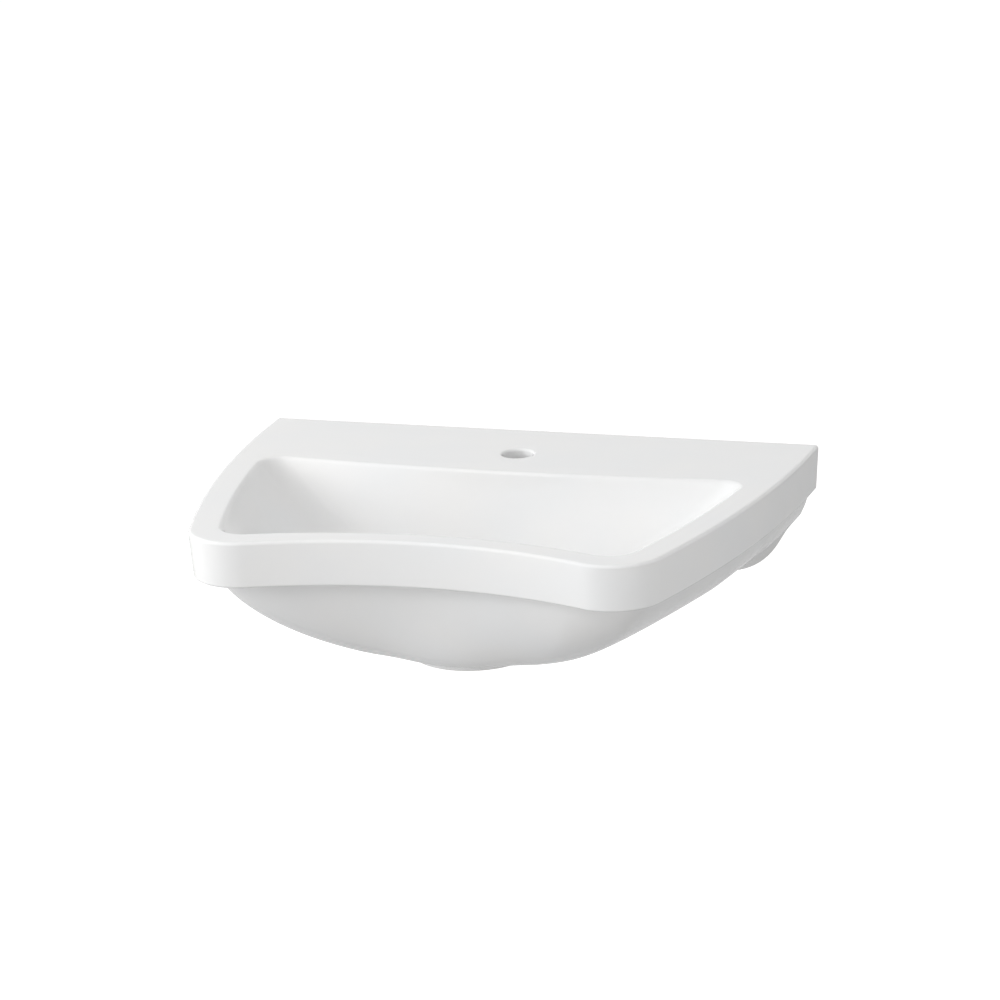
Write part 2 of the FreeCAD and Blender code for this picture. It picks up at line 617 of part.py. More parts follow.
def rotor():
    """Indexing ring under the plunger: sloped notches round its upper edge."""
    top = FLOOR_Z - CASE_TOP - CASE_LIP - STUD_FIT - PLUNGER_L
    ring = tube(PLUNGER_R - STUD_FIT, PIN_R + STUD_FIT, top - ROTOR_L, top)
    for i in range(NOTCHES):
        notch = Part.makePolygon([V(0, 0, 0), V(0, NOTCH_W, 0), V(0, 0, -NOTCH_W), V(0, 0, 0)])
        notch = Part.Face(notch).extrude(V(2 * PLUNGER_R, 0, 0))
        notch.rotate(V(0, 0, 0), UP, 360 / NOTCHES * i)
        notch.translate(OUTLET + UP * top)
        ring = ring.cut(notch)
    return ring


def cartridge_case():
    """Case of the push cartridge: lipped at the top, with a threaded spigot through the boss."""
    top = FLOOR_Z - CASE_TOP
    floor = FLOOR_Z - CASE_DEPTH
    base = floor - CASE_FLOOR
    spigot = base - BAR_T - LOCKNUT_T - SPIGOT_PAST
    return turned([(STEM_R + STEM_FIT, top), (CASE_R, top), (CASE_R, base), (STEM_R, base),
                   (STEM_R, spigot), (0, spigot), (0, floor), (PLUNGER_R + SLIDE_FIT, floor),
                   (PLUNGER_R + SLIDE_FIT, top - CASE_LIP), (STEM_R + STEM_FIT, top - CASE_LIP)])


def lock_nut():
    """Nut that clamps the cartridge to the cross bar."""
    low = FLOOR_Z - CASE_DEPTH - CASE_FLOOR - BAR_T - LOCKNUT_T
    nut = hexagon(LOCKNUT_AF, LOCKNUT_T, OUTLET + UP * low, UP)
    return nut.cut(Part.makeCylinder(STEM_R + STUD_FIT, LOCKNUT_T, OUTLET + UP * low, UP))


def spring():
    """Helical spring between the case's floor and the rotor, its wire drawn eight-sided."""
    low = FLOOR_Z - CASE_DEPTH + SPRING_WIRE
    high = FLOOR_Z - CASE_TOP - CASE_LIP - STUD_FIT - PLUNGER_L - ROTOR_L - SPRING_WIRE
    helix = Part.makeHelix((high - low) / SPRING_TURNS, high - low, SPRING_R)
    turns = [2 * math.pi * i / WIRE_SIDES for i in range(WIRE_SIDES + 1)]
    wire = SPRING_WIRE / 2
    section = [V(SPRING_R + wire * math.cos(a), 0, wire * math.sin(a)) for a in turns]
    coil = Part.Wire(helix).makePipeShell([Part.makePolygon(section)], True, True)
    coil.translate(OUTLET + UP * low)
    return coil


# ------------------------------------------------------------------ build

def build():
    """Every sub-part by its node name."""
    parts = {"basin_body": basin_body()}
    for name, x in (("left", -FIX_SPACING / 2), ("right", FIX_SPACING / 2)):
        parts[name + "_wall_plug"] = wall_plug(x)
        parts[name + "_hanger_stud"] = hanger_stud(x)
        parts[name + "_bush"] = stud_bush(x)
        parts[name + "_washer"] = stud_washer(x)
        parts[name + "_fixing_nut"] = stud_nut(x)
    parts["waste_body"] = waste_body()
    parts["flange_seal"] = flange_seal()
    parts["tapered_seal"] = tapered_seal()
    parts["slip_washer"] = slip_washer()
    parts["back_nut"] = back_nut()
    parts["plug_cap"] = plug_cap()
    parts["plug_seal"] = plug_seal()
    parts["cartridge_case"] = cartridge_case()
    parts["cartridge_plunger"] = plunger()
    parts["cartridge_rotor"] = rotor()
    parts["cartridge_spring"] = spring()
    parts["cartridge_nut"] = lock_nut()
    return parts


os.makedirs("parts", exist_ok=True)
for node, shape in build().items():
    shape.exportStep("parts/" + node + ".step")
    print(node, shape.isValid(), len(shape.Solids), round(shape.Volume / 1000, 2))
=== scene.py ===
# %% [markdown]
# # A wall hung basin
# A basin of this kind is one glazed china casting. Two studs hold its flat back against the wall, and a
# chromed waste with a push-down plug drains it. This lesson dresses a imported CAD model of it. The CAD
# model says where each piece is and how it moves, and the cells below give every piece its visible
# shape and its finish. Everything is in metres, with the wall as the plane y = 0 and the bowl towards -y.

# %% Load the frame
import math

import bmesh
import bpy
import numpy as np
from mathutils import Matrix


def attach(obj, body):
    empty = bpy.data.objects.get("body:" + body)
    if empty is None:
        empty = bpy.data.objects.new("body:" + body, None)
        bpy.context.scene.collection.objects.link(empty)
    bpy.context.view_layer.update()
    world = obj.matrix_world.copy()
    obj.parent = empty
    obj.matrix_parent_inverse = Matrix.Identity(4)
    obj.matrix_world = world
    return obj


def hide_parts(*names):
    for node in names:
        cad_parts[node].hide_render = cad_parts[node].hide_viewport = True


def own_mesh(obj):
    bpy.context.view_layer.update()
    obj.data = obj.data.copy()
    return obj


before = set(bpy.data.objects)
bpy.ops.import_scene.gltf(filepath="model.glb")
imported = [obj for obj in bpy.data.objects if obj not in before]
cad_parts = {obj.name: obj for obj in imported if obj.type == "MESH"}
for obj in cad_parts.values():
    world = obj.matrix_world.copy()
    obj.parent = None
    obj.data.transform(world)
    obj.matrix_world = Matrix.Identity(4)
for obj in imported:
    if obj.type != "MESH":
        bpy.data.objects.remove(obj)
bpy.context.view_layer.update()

# %% [markdown]
# ## Sizes
# A maker's drawing gives a few driving sizes, and the rest follows from them. The plan of the rim is
# five arcs: two long sides that leave the wall at a right angle, two rounded lobes, and one hollow arc
# between the lobes. Heights are counted from the fixing holes.

# %% Sizes of the rim and apron
MM = 0.001
HALF = 319.5 * MM          # half the width at the wall
FRONT_MID = 430.5 * MM     # projection at the middle of the front
FRONT_LOBE = 469 * MM      # projection at the lobes
SIDE_R = 1520 * MM         # arc of each long side
LOBE_R = 58 * MM
RIM_Z = 75 * MM
APRON_H = 51 * MM
BODY_DEPTH = 164 * MM      # from the rim down to the flat of the belly
APRON_DRAFT = 3.5 * MM     # how far the apron leans in at its lower edge
RIM_ROUND = 3.5 * MM
APRON_ROUND = 3 * MM
MOUTH_ROUND = 4 * MM
SIDE_X = HALF - SIDE_R     # centre of the right side arc
print(f"rim {2 * HALF:.3f} m wide and {FRONT_LOBE:.3f} m deep over an apron {APRON_H:.3f} m high")

# %% [markdown]
# The bowl's mouth follows the rim with tighter corners and leaves a wide deck behind it for the tap. Its
# rear edge is bowed, and its floor is level round the waste.

# %% Sizes of the bowl
RIM_SIDE = 35 * MM         # level rim beside the mouth
RIM_FRONT = 30 * MM        # and in front of it
BOWL_LOBE = 434 * MM       # reach of the mouth's front corners
BOWL_LOBE_R = 28 * MM
DECK = 164.5 * MM          # from the wall to the mouth
BACK_R = 2600 * MM         # bow of the mouth's rear edge
BACK_CORNER_R = 24 * MM
BOWL_DEPTH = 126 * MM
FLOOR_R = 37.5 * MM        # level floor round the waste
BOWL_SOFT_IN = 45 * MM     # how far the oval near the floor stays inside the mouth
print(f"bowl {2 * (HALF - RIM_SIDE):.3f} m wide and {BOWL_DEPTH:.3f} m deep")

# %% [markdown]
# The belly under the apron runs nearly straight in front, where the rim is hollow. A skirt behind it fills
# the space up to the wall and closes in away from it.

# %% Sizes of the belly and skirt
BELLY_Y = -233.7 * MM      # upright axis that the belly's wall is measured from
BELLY_INSET = 21.9 * MM    # ledge under the apron, in front
BELLY_FLAT_R = 110 * MM    # flat bottom, towards the front
BELLY_SIDE_INSET = 9 * MM  # ledge under the apron, at the sides
BELLY_SIDE_FLAT = 113 * MM
BOW_FRONT = 430 * MM       # front of the belly, bowed outwards
BOW_R = 3000 * MM
BOW_SOFT = 30 * MM         # softness of its meeting with the rim's outline
SKIRT_HALF = 276 * MM
SKIRT_DEPTH = 152 * MM
SKIRT_R = 64 * MM          # its lower corners
SKIRT_REACH = 210 * MM     # how far it comes out from the wall
SKIRT_FADE = 207 * MM      # how much narrower it is there
print(f"belly down to {BODY_DEPTH:.3f} m under the rim, skirt {2 * SKIRT_HALF:.3f} m wide at the wall")

# %% [markdown]
# The outlet is a hole with a recess on top for the waste's flange, and a foot ring below. The pocket in
# the ring leaves room for the nut of a trap.

# %% Sizes of the outlet
OUTLET_Y = -270 * MM
FOOT_R = 69 * MM
FOOT_DRAFT = 1 * MM
FOOT_DROP = 7.5 * MM       # how far the foot ring stands under the belly
POCKET_R = 37 * MM
RECESS_R = 32.5 * MM
OUTLET_R = 23 * MM
FLOOR_Z = RIM_Z - BOWL_DEPTH
SEAT_Z = FLOOR_Z - 5 * MM
UNDER_Z = SEAT_Z - 11 * MM
BELLY_Z = RIM_Z - BODY_DEPTH
FOOT_Z = BELLY_Z - FOOT_DROP
print(f"width {2 * HALF:.3f} m, projection {FRONT_LOBE:.3f} m, height {RIM_Z - FOOT_Z:.3f} m")

# %% [markdown]
# ## Surfaces from grids
# Every piece here is a grid of points that numpy works out at once. A grid could be typed in by hand or
# sculpted, but a formula is easier to change and stays smooth. Row k of the grid is one ring round the
# piece, and the rings follow the piece's profile. A ring that has shrunk to a point closes a pole, and
# merging its doubles makes it one vertex. The sign of the volume tells whether the faces point outwards.

# %% Grid to mesh
def mesh_object(name, points, faces):
    """Object from points (n, 3) and quads (m, 4), with its doubles merged and smooth shading."""
    mesh = bpy.data.meshes.new(name)
    mesh.from_pydata(points.tolist(), [], faces.tolist())
    bm = bmesh.new()
    bm.from_mesh(mesh)
    bmesh.ops.remove_doubles(bm, verts=bm.verts, dist=2e-6)
    bmesh.ops.dissolve_degenerate(bm, edges=bm.edges, dist=1e-7)
    if bm.calc_volume(signed=True) < 0:
        bmesh.ops.reverse_faces(bm, faces=bm.faces)
    open_edges = sum(1 for edge in bm.edges if not edge.is_manifold)
    volume = bm.calc_volume()
    bm.to_mesh(mesh)
    bm.free()
    mesh.shade_smooth()
    piece = bpy.data.objects.new(name, mesh)
    bpy.context.scene.collection.objects.link(piece)
    print(f"{name}: {len(mesh.polygons)} faces, {volume * 1e6:.1f} cm3, {open_edges} open edges")
    return piece


def ring_surface(name, rings, tube=False):
    """Skin over rings (k, n, 3). Each ring is closed on itself, and in a tube the last joins the first."""
    rows, count = rings.shape[:2]
    index = np.arange(rows * count).reshape(rows, count)
    if tube:
        index = np.vstack([index, index[:1]])
    beside = np.roll(index, -1, axis=1)
    faces = np.stack([index[:-1], beside[:-1], beside[1:], index[1:]], axis=-1).reshape(-1, 4)
    return mesh_object(name, rings.reshape(-1, 3), faces)


# %% [markdown]
# A profile is a short list of corners, each with the radius that rounds it. Glaze and moulding leave no
# edge perfectly sharp, so nearly every corner gets a radius. The arc that rounds a corner touches both
# of its lines, so its centre lies on the line that halves the corner.

# %% Rounded profiles
def rounded(corners, steps=6, closed=False):
    """Points (n, 2) along corners (a, b, radius): each corner is an arc tangent to both its lines.

    Tangent length = radius / tan(half the corner's angle), limited to under half of each line."""
    data = np.array(corners, float)
    count = len(data)
    out = []
    for i in range(count):
        here, radius = data[i, :2], data[i, 2]
        if radius == 0 or (not closed and i in (0, count - 1)):
            out.append(here[None])
            continue
        back = data[i - 1, :2] - here
        ahead = data[(i + 1) % count, :2] - here
        back_len, ahead_len = np.hypot(*back), np.hypot(*ahead)
        back, ahead = back / back_len, ahead / ahead_len
        half_angle = math.acos(np.clip(back @ ahead, -1, 1)) / 2
        reach = min(radius / math.tan(half_angle), 0.49 * back_len, 0.49 * ahead_len)
        radius = reach * math.tan(half_angle)
        middle = here + (back + ahead) / np.linalg.norm(back + ahead) * (radius / math.sin(half_angle))
        start, end = here + back * reach - middle, here + ahead * reach - middle
        turn = math.atan2(start[0] * end[1] - start[1] * end[0], start @ end)
        angle = math.atan2(start[1], start[0]) + turn * np.linspace(0, 1, steps + 1)
        out.append(middle + radius * np.stack([np.cos(angle), np.sin(angle)], axis=-1))
    return np.vstack(out)


print("a rounded corner:", np.round(rounded([(0, 0, 0), (1, 0, 0.2), (1, 1, 0)], 2), 2).tolist())

# %% [markdown]
# Bushes, washers, seals and the waste are turned parts: a profile swept round an axis. Blender's Screw
# modifier could do that too, but a grid lets the radius change along the way, which the threads need.

# %% Lathe
ALONG_Z = np.array([[1, 0, 0], [0, 1, 0], [0, 0, 1]])
ALONG_Y = np.array([[1, 0, 0], [0, 0, 1], [0, 1, 0]])    # local x, y and z as x, z and y
OUTLET_AXIS = np.array([0, OUTLET_Y, 0])


def swept(name, radius, along, origin=OUTLET_AXIS, axes=ALONG_Z, tube=True):
    """Skin over radii (k, n) at distances along the axis (k, 1) or (k, n). A tube has a bore."""
    angle = np.linspace(0, 2 * np.pi, radius.shape[1], endpoint=False)
    local = np.stack([radius * np.cos(angle), radius * np.sin(angle), along + 0 * radius], axis=-1)
    return ring_surface(name, local @ axes + origin, tube)


def lathe(name, profile, origin=OUTLET_AXIS, axes=ALONG_Z, count=96, ripple=None, tube=True):
    """Profile (k, 2) of radius and distance along the axis, swept round it. A ripple, a function of
    direction, distance and radius, is taken off the radius."""
    angle = np.linspace(0, 2 * np.pi, count, endpoint=False)[None]
    radius, along = profile[:, :1] + 0 * angle, profile[:, 1:] + 0 * angle
    if ripple is not None:
        radius = radius - ripple(angle, along, radius)
    return swept(name, radius, along, origin, axes, tube)


# %% [markdown]
# A screw thread is the same surface with a ripple in its radius. The ripple's phase is the distance along
# the axis, counted in pitches, less the share of a turn, so the crest climbs one pitch a turn, exactly as
# a cut thread does.

# %% Threads
def finer(profile, step):
    """Profile with its runs parallel to the axis divided into steps."""
    runs = []
    for first, last in zip(profile[:-1], profile[1:]):
        level = abs(first[0] - last[0]) < 1e-7 and first[0] > 0
        count = max(1, round(abs(first[1] - last[1]) / step)) if level else 1
        runs.append(first + (last - first) * np.linspace(0, 1, count + 1)[:-1, None])
    return np.vstack(runs + [profile[-1:]])


def groove(phase):
    """Depth of a thread: 0 on the crest and 1 at the root, with a small flat on each."""
    return np.clip(1.25 - 3 * np.abs(phase % 1 - 0.5), 0, 1)


def thread(crest, low, high, pitch, depth):
    """Ripple of a thread cut into a crest radius from low to high, fading in over half a pitch."""
    def ripple(angle, along, radius):
        fade = np.clip(np.minimum(along - low, high - along) / (pitch / 2), 0, 1)
        cut = depth * fade * groove(along / pitch - angle / (2 * np.pi))
        return np.where(radius > crest - 1e-6, cut, 0)
    return ripple


# %% [markdown]
# ## The camera
# The view is a long lens a little to the right of the middle and above the rim. The three angles turn
# the camera, and the place of one known point, the middle of the rim's rear edge, fixes where it stands.
# A long lens keeps the far and near parts of the rim close to their true proportions.

# %% Camera
LENS = 144.0               # on a sensor 36 wide
CAMERA_TURN = math.radians(18.296)
CAMERA_TILT = math.radians(16.627)
CAMERA_ROLL = math.radians(-2.2)
REAR_EDGE = np.array([0, 0, RIM_Z])
REAR_EDGE_SEEN = (0.04764, -0.0777, 4.51354)    # right, down and forward of the camera

turn, tilt, roll = CAMERA_TURN, CAMERA_TILT, CAMERA_ROLL
forward = np.array([-math.sin(turn) * math.cos(tilt), math.cos(turn) * math.cos(tilt), -math.sin(tilt)])
level_right = np.array([math.cos(turn), math.sin(turn), 0])
level_up = np.cross(level_right, forward)
right = math.cos(roll) * level_right + math.sin(roll) * level_up
up = math.cos(roll) * level_up - math.sin(roll) * level_right
place = REAR_EDGE - right * REAR_EDGE_SEEN[0] + up * REAR_EDGE_SEEN[1] - forward * REAR_EDGE_SEEN[2]

camera_data = bpy.data.cameras.new("camera")
camera_data.lens = LENS
camera_data.sensor_width = 36.0
camera_data.clip_end = 100.0
camera = bpy.data.objects.new("camera", camera_data)
bpy.context.scene.collection.objects.link(camera)
matrix = np.eye(4)
matrix[:3, 0], matrix[:3, 1], matrix[:3, 2], matrix[:3, 3] = right, up, -forward, place
camera.matrix_world = Matrix(matrix.tolist())
bpy.context.scene.camera = camera
print("camera at", np.round(place, 3))

# %% [markdown]
# ## Floor and light
# White glaze only shows its shape where the light changes over it, so the room is dim. The world looks
# white to the camera and in reflections, while it lights the basin at a lower level. The Light Path node
# tells which kind of ray is asking.

# %% World
AMBIENT = 0.26             # strength of the world as light


def light_path(tree, mirrored=1.0):
    """Value that is 1 for camera and transmission rays, mirrored for glossy rays, and 0 for the rest."""
    path = tree.nodes.new("ShaderNodeLightPath")
    first = tree.nodes.new("ShaderNodeMath")
    first.operation = "MAXIMUM"
    tree.links.new(path.outputs["Is Camera Ray"], first.inputs[0])
    level = tree.nodes.new("ShaderNodeMath")
    level.operation = "MULTIPLY"
    level.inputs[1].default_value = mirrored
    tree.links.new(path.outputs["Is Glossy Ray"], level.inputs[0])
    tree.links.new(level.outputs[0], first.inputs[1])
    both = tree.nodes.new("ShaderNodeMath")
    both.operation = "MAXIMUM"
    tree.links.new(first.outputs[0], both.inputs[0])
    tree.links.new(path.outputs["Is Transmission Ray"], both.inputs[1])
    return both.outputs[0]


def make_world():
    """White to the camera and in reflections, AMBIENT as light."""
    world = bpy.data.worlds.new("studio")
    world.use_nodes = True
    tree = world.node_tree
    tree.nodes.clear()
    seen = tree.nodes.new("ShaderNodeBackground")
    seen.inputs["Color"].default_value = (1, 1, 1, 1)
    seen.inputs["Strength"].default_value = 1.0
    given = tree.nodes.new("ShaderNodeBackground")
    given.inputs["Color"].default_value = (1, 1, 1, 1)
    given.inputs["Strength"].default_value = AMBIENT
    mix = tree.nodes.new("ShaderNodeMixShader")
    output = tree.nodes.new("ShaderNodeOutputWorld")
    tree.links.new(light_path(tree), mix.inputs[0])
    tree.links.new(given.outputs[0], mix.inputs[1])
    tree.links.new(seen.outputs[0], mix.inputs[2])
    tree.links.new(mix.outputs[0], output.inputs["Surface"])
    bpy.context.scene.world = world


make_world()
print("world lights at", AMBIENT, "and looks white")

# %% [markdown]
# The basin hangs with its rim 850 mm above the floor, a wide sheet of paper that takes its soft shadow. A
# glow that only the camera sees in full lifts the paper to white. Reflections see a smaller share of it,
# so that the glossy underside keeps its shading.

# %% Floor
RIM_HEIGHT = 850 * MM
FLOOR_LEVEL = RIM_Z - RIM_HEIGHT
FLOOR_SIZE = 30.0
PAPER = 0.4                # grey of the sheet under the lamps
FLOOR_GLOW = 0.93          # what the camera sees on top of that
FLOOR_MIRRORED = 0.4       # share of the glow that reflections see


def make_floor():
    """Wide pale sheet. A little glow towards the camera lifts its unshaded part to white."""
    side = FLOOR_SIZE / 2
    points = np.array([[-side, -side, FLOOR_LEVEL], [side, -side, FLOOR_LEVEL],
                       [side, side, FLOOR_LEVEL], [-side, side, FLOOR_LEVEL]])
    mesh = bpy.data.meshes.new("floor")
    mesh.from_pydata(points.tolist(), [], [(0, 1, 2, 3)])
    floor = bpy.data.objects.new("floor", mesh)
    bpy.context.scene.collection.objects.link(floor)
    material = bpy.data.materials.new("floor_paper")
    material.use_nodes = True
    tree = material.node_tree
    tree.nodes.clear()
    paper = tree.nodes.new("ShaderNodeBsdfDiffuse")
    paper.inputs["Color"].default_value = (PAPER, PAPER, PAPER, 1)
    glow = tree.nodes.new("ShaderNodeEmission")
    glow.inputs["Color"].default_value = (1, 1, 1, 1)
    level = tree.nodes.new("ShaderNodeMath")
    level.operation = "MULTIPLY"
    level.inputs[1].default_value = FLOOR_GLOW
    tree.links.new(light_path(tree, FLOOR_MIRRORED), level.inputs[0])
    tree.links.new(level.outputs[0], glow.inputs["Strength"])
    both = tree.nodes.new("ShaderNodeAddShader")
    tree.links.new(paper.outputs[0], both.inputs[0])
    tree.links.new(glow.outputs[0], both.inputs[1])
    output = tree.nodes.new("ShaderNodeOutputMaterial")
    tree.links.new(both.outputs[0], output.inputs["Surface"])
    mesh.materials.append(material)


make_floor()
print(f"floor at {FLOOR_LEVEL:.3f} m")

# %% [markdown]
# Large soft lamps stand above, in front, to the left and behind, and one low lamp keeps the right of the
# belly from going dark. Reflections don't show them, so that no bright square lies in the bowl.

# %% Lamps
LAMPS = {
    # name: (place, aim, size, power in watts)
    "lamp_top_left": ((-2.2, -0.6, 2.2), (0, -0.25, 0), 2.0, 21),
    "lamp_top_right": ((2.2, -0.6, 2.2), (0, -0.25, 0), 2.0, 25),
    "lamp_front_high": ((0, -2.6, 2.4), (0, -0.3, 0), 2.0, 12),
    "lamp_front_left": ((-2.2, -2.8, 1.0), (0, -0.3, 0), 2.0, 69),
    "lamp_left": ((-3.2, -0.5, 0.8), (0, -0.3, 0), 1.8, 36),
    "lamp_low_right": ((2.0, -1.8, -0.3), (0, -0.3, 0), 0.8, 12),
    "lamp_back": ((0, 2.4, 2.0), (0, -0.3, 0), 2.0, 13),
}


def make_lamp(name, place, aim, size, power):
    """Square soft lamp that looks from place to aim and that reflections don't show."""
    data = bpy.data.lights.new(name, "AREA")
    data.shape = "SQUARE"
    data.size = size
    data.energy = power
    lamp = bpy.data.objects.new(name, data)
    bpy.context.scene.collection.objects.link(lamp)
    back = np.array(place, float) - np.array(aim, float)
    back /= np.linalg.norm(back)
    side = np.cross((0, 0, 1), back)
    side /= np.linalg.norm(side)
    turned_to = np.eye(4)
    turned_to[:3, 0], turned_to[:3, 1] = side, np.cross(back, side)
    turned_to[:3, 2], turned_to[:3, 3] = back, place
    lamp.matrix_world = Matrix(turned_to.tolist())
    lamp.visible_glossy = False


for lamp_name, (lamp_place, lamp_aim, lamp_size, lamp_power) in LAMPS.items():
    make_lamp(lamp_name, lamp_place, lamp_aim, lamp_size, lamp_power)
bpy.context.scene.view_settings.view_transform = "Standard"
print(len(LAMPS), "lamps,", sum(values[3] for values in LAMPS.values()), "W in all")

# %% [markdown]
# ## Finishes
# Every finish is a small network of nodes. A few helpers place the nodes that come up again and again.

# %% Node helpers
def new_group(name, inputs, outputs):
    """Empty shader node group with float inputs {name: default} and float outputs."""
    group = bpy.data.node_groups.new(name, "ShaderNodeTree")
    for socket_name, value in inputs.items():
        socket = group.interface.new_socket(socket_name, in_out="INPUT", socket_type="NodeSocketFloat")
        socket.default_value = value
    for socket_name in outputs:
        group.interface.new_socket(socket_name, in_out="OUTPUT", socket_type="NodeSocketFloat")
    return group, group.nodes.new("NodeGroupInput"), group.nodes.new("NodeGroupOutput")


def noise(tree, vector, scale, detail=2.0, rough=0.5):
    """Noise texture on a vector socket; scale may be a number or a socket."""
    node = tree.nodes.new("ShaderNodeTexNoise")
    node.inputs["Detail"].default_value = detail
    node.inputs["Roughness"].default_value = rough
    tree.links.new(vector, node.inputs["Vector"])
    if isinstance(scale, (int, float)):
        node.inputs["Scale"].default_value = scale
    else:
        tree.links.new(scale, node.inputs["Scale"])
    return node.outputs["Fac"]


def math_node(tree, operation, first, second=None, third=None):
    """Math node whose inputs are numbers or sockets."""
    node = tree.nodes.new("ShaderNodeMath")
    node.operation = operation
    for slot_number, value in enumerate((first, second, third)):
        if value is None:
            continue
        if isinstance(value, (int, float)):
            node.inputs[slot_number].default_value = value
        else:
            tree.links.new(value, node.inputs[slot_number])
    return node.outputs[0]


def ramp(tree, value, low, high, out_low=0.0, out_high=1.0):
    """Linear step of a value from low..high to out_low..out_high, clamped."""
    node = tree.nodes.new("ShaderNodeMapRange")
    node.inputs["From Min"].default_value = low
    node.inputs["From Max"].default_value = high
    node.inputs["To Min"].default_value = out_low
    node.inputs["To Max"].default_value = out_high
    tree.links.new(value, node.inputs["Value"])
    return node.outputs["Result"]


# %% [markdown]
# Two effects are shared by several finishes, so each is a node group that is built once: a slow waviness
# with a fine peel, as glaze and moulded plastic have, and small scuffs, as on handled metal. A group
# only gives out heights and masks that change over the surface. The shader itself stays in each
# material, with its constants written on its own sockets.

# %% Node groups
def make_flow_group():
    """Height of a flowed skin: slow waves, a fine peel, and a mask of where it lies thicker."""
    group, given, out = new_group("flowed_skin", {"Wave Scale": 9.0, "Peel Scale": 420.0, "Peel Share": 0.12},
                                  ["Height", "Thick"])
    position = group.nodes.new("ShaderNodeTexCoord").outputs["Object"]
    waves = noise(group, position, given.outputs["Wave Scale"], 1.5)
    peel = noise(group, position, given.outputs["Peel Scale"], 1.0)
    fine = math_node(group, "MULTIPLY", peel, given.outputs["Peel Share"])
    group.links.new(math_node(group, "ADD", waves, fine), out.inputs["Height"])
    group.links.new(ramp(group, waves, 0.35, 0.65), out.inputs["Thick"])
    return group


def make_scuff_group():
    """Mask of small scuffs: thin stretched streaks that break up, plus a fine grain height."""
    group, given, out = new_group("scuffs", {"Scale": 60.0, "Grain Scale": 900.0}, ["Mask", "Grain"])
    position = group.nodes.new("ShaderNodeTexCoord").outputs["Object"]
    stretch = group.nodes.new("ShaderNodeMapping")
    stretch.inputs["Scale"].default_value = (1.0, 1.0, 6.0)
    stretch.inputs["Rotation"].default_value = (0.6, 0.3, 0.0)
    group.links.new(position, stretch.inputs["Vector"])
    streaks = noise(group, stretch.outputs["Vector"], given.outputs["Scale"], 4.0, 0.65)
    group.links.new(ramp(group, streaks, 0.52, 0.72), out.inputs["Mask"])
    group.links.new(noise(group, position, given.outputs["Grain Scale"], 2.0), out.inputs["Grain"])
    return group


flow_group = make_flow_group()
scuff_group = make_scuff_group()
print("groups:", [(group.name, len(group.nodes)) for group in (flow_group, scuff_group)])

# %% [markdown]
# A material starts from the same few steps: a Principled shader, one of the groups, and a bump from the
# group's height. These helpers keep each finish below down to the values that make it what it is.

# %% Material helpers
def new_material(name, roughness, metallic=0.0):
    """Material with a Principled shader linked to its output."""
    material = bpy.data.materials.new(name)
    material.use_nodes = True
    shader = material.node_tree.nodes["Principled BSDF"]
    shader.inputs["Roughness"].default_value = roughness
    shader.inputs["Metallic"].default_value = metallic
    shader.inputs["IOR"].default_value = 1.5
    return material, material.node_tree, shader


def place_group(tree, group, **values):
    """Group node in a material, with its inputs set by name (underscores stand for spaces)."""
    node = tree.nodes.new("ShaderNodeGroup")
    node.node_tree = group
    for key, value in values.items():
        node.inputs[key.replace("_", " ")].default_value = value
    return node


def colour_mix(tree, shader, mask, first, second):
    """Base colour between two colours by a mask."""
    mix = tree.nodes.new("ShaderNodeMix")
    mix.data_type = "RGBA"
    mix.inputs["A"].default_value = (*first, 1)
    mix.inputs["B"].default_value = (*second, 1)
    tree.links.new(mask, mix.inputs["Factor"])
    tree.links.new(mix.outputs["Result"], shader.inputs["Base Color"])


def bump(tree, shader, height, distance):
    """Bump from a height socket; distance in metres is the height's full range."""
    node = tree.nodes.new("ShaderNodeBump")
    node.inputs["Strength"].default_value = 1.0
    node.inputs["Distance"].default_value = distance
    tree.links.new(height, node.inputs["Height"])
    tree.links.new(node.outputs["Normal"], shader.inputs["Normal"])


# %% [markdown]
# ### Glazed china
# White sanitary glaze is a thick glassy coat over a white body. It flows as it melts, so the surface
# waves very slightly, and it is a touch cooler where it lies thick. The back face is ground flat after
# firing and the end of the outlet ring is wiped, so both are bare, matt and warmer. Height alone and
# depth alone tell those faces apart, so a mask from Object coordinates is enough.

# %% China material
GLAZE_THICK = (0.835, 0.84, 0.842)
GLAZE_THIN = (0.85, 0.848, 0.842)
BARE_BODY = (0.72, 0.69, 0.63)
BARE_BACK = 0.4 * MM       # the bare faces reach this far round their edges
BARE_FOOT = 0.8 * MM


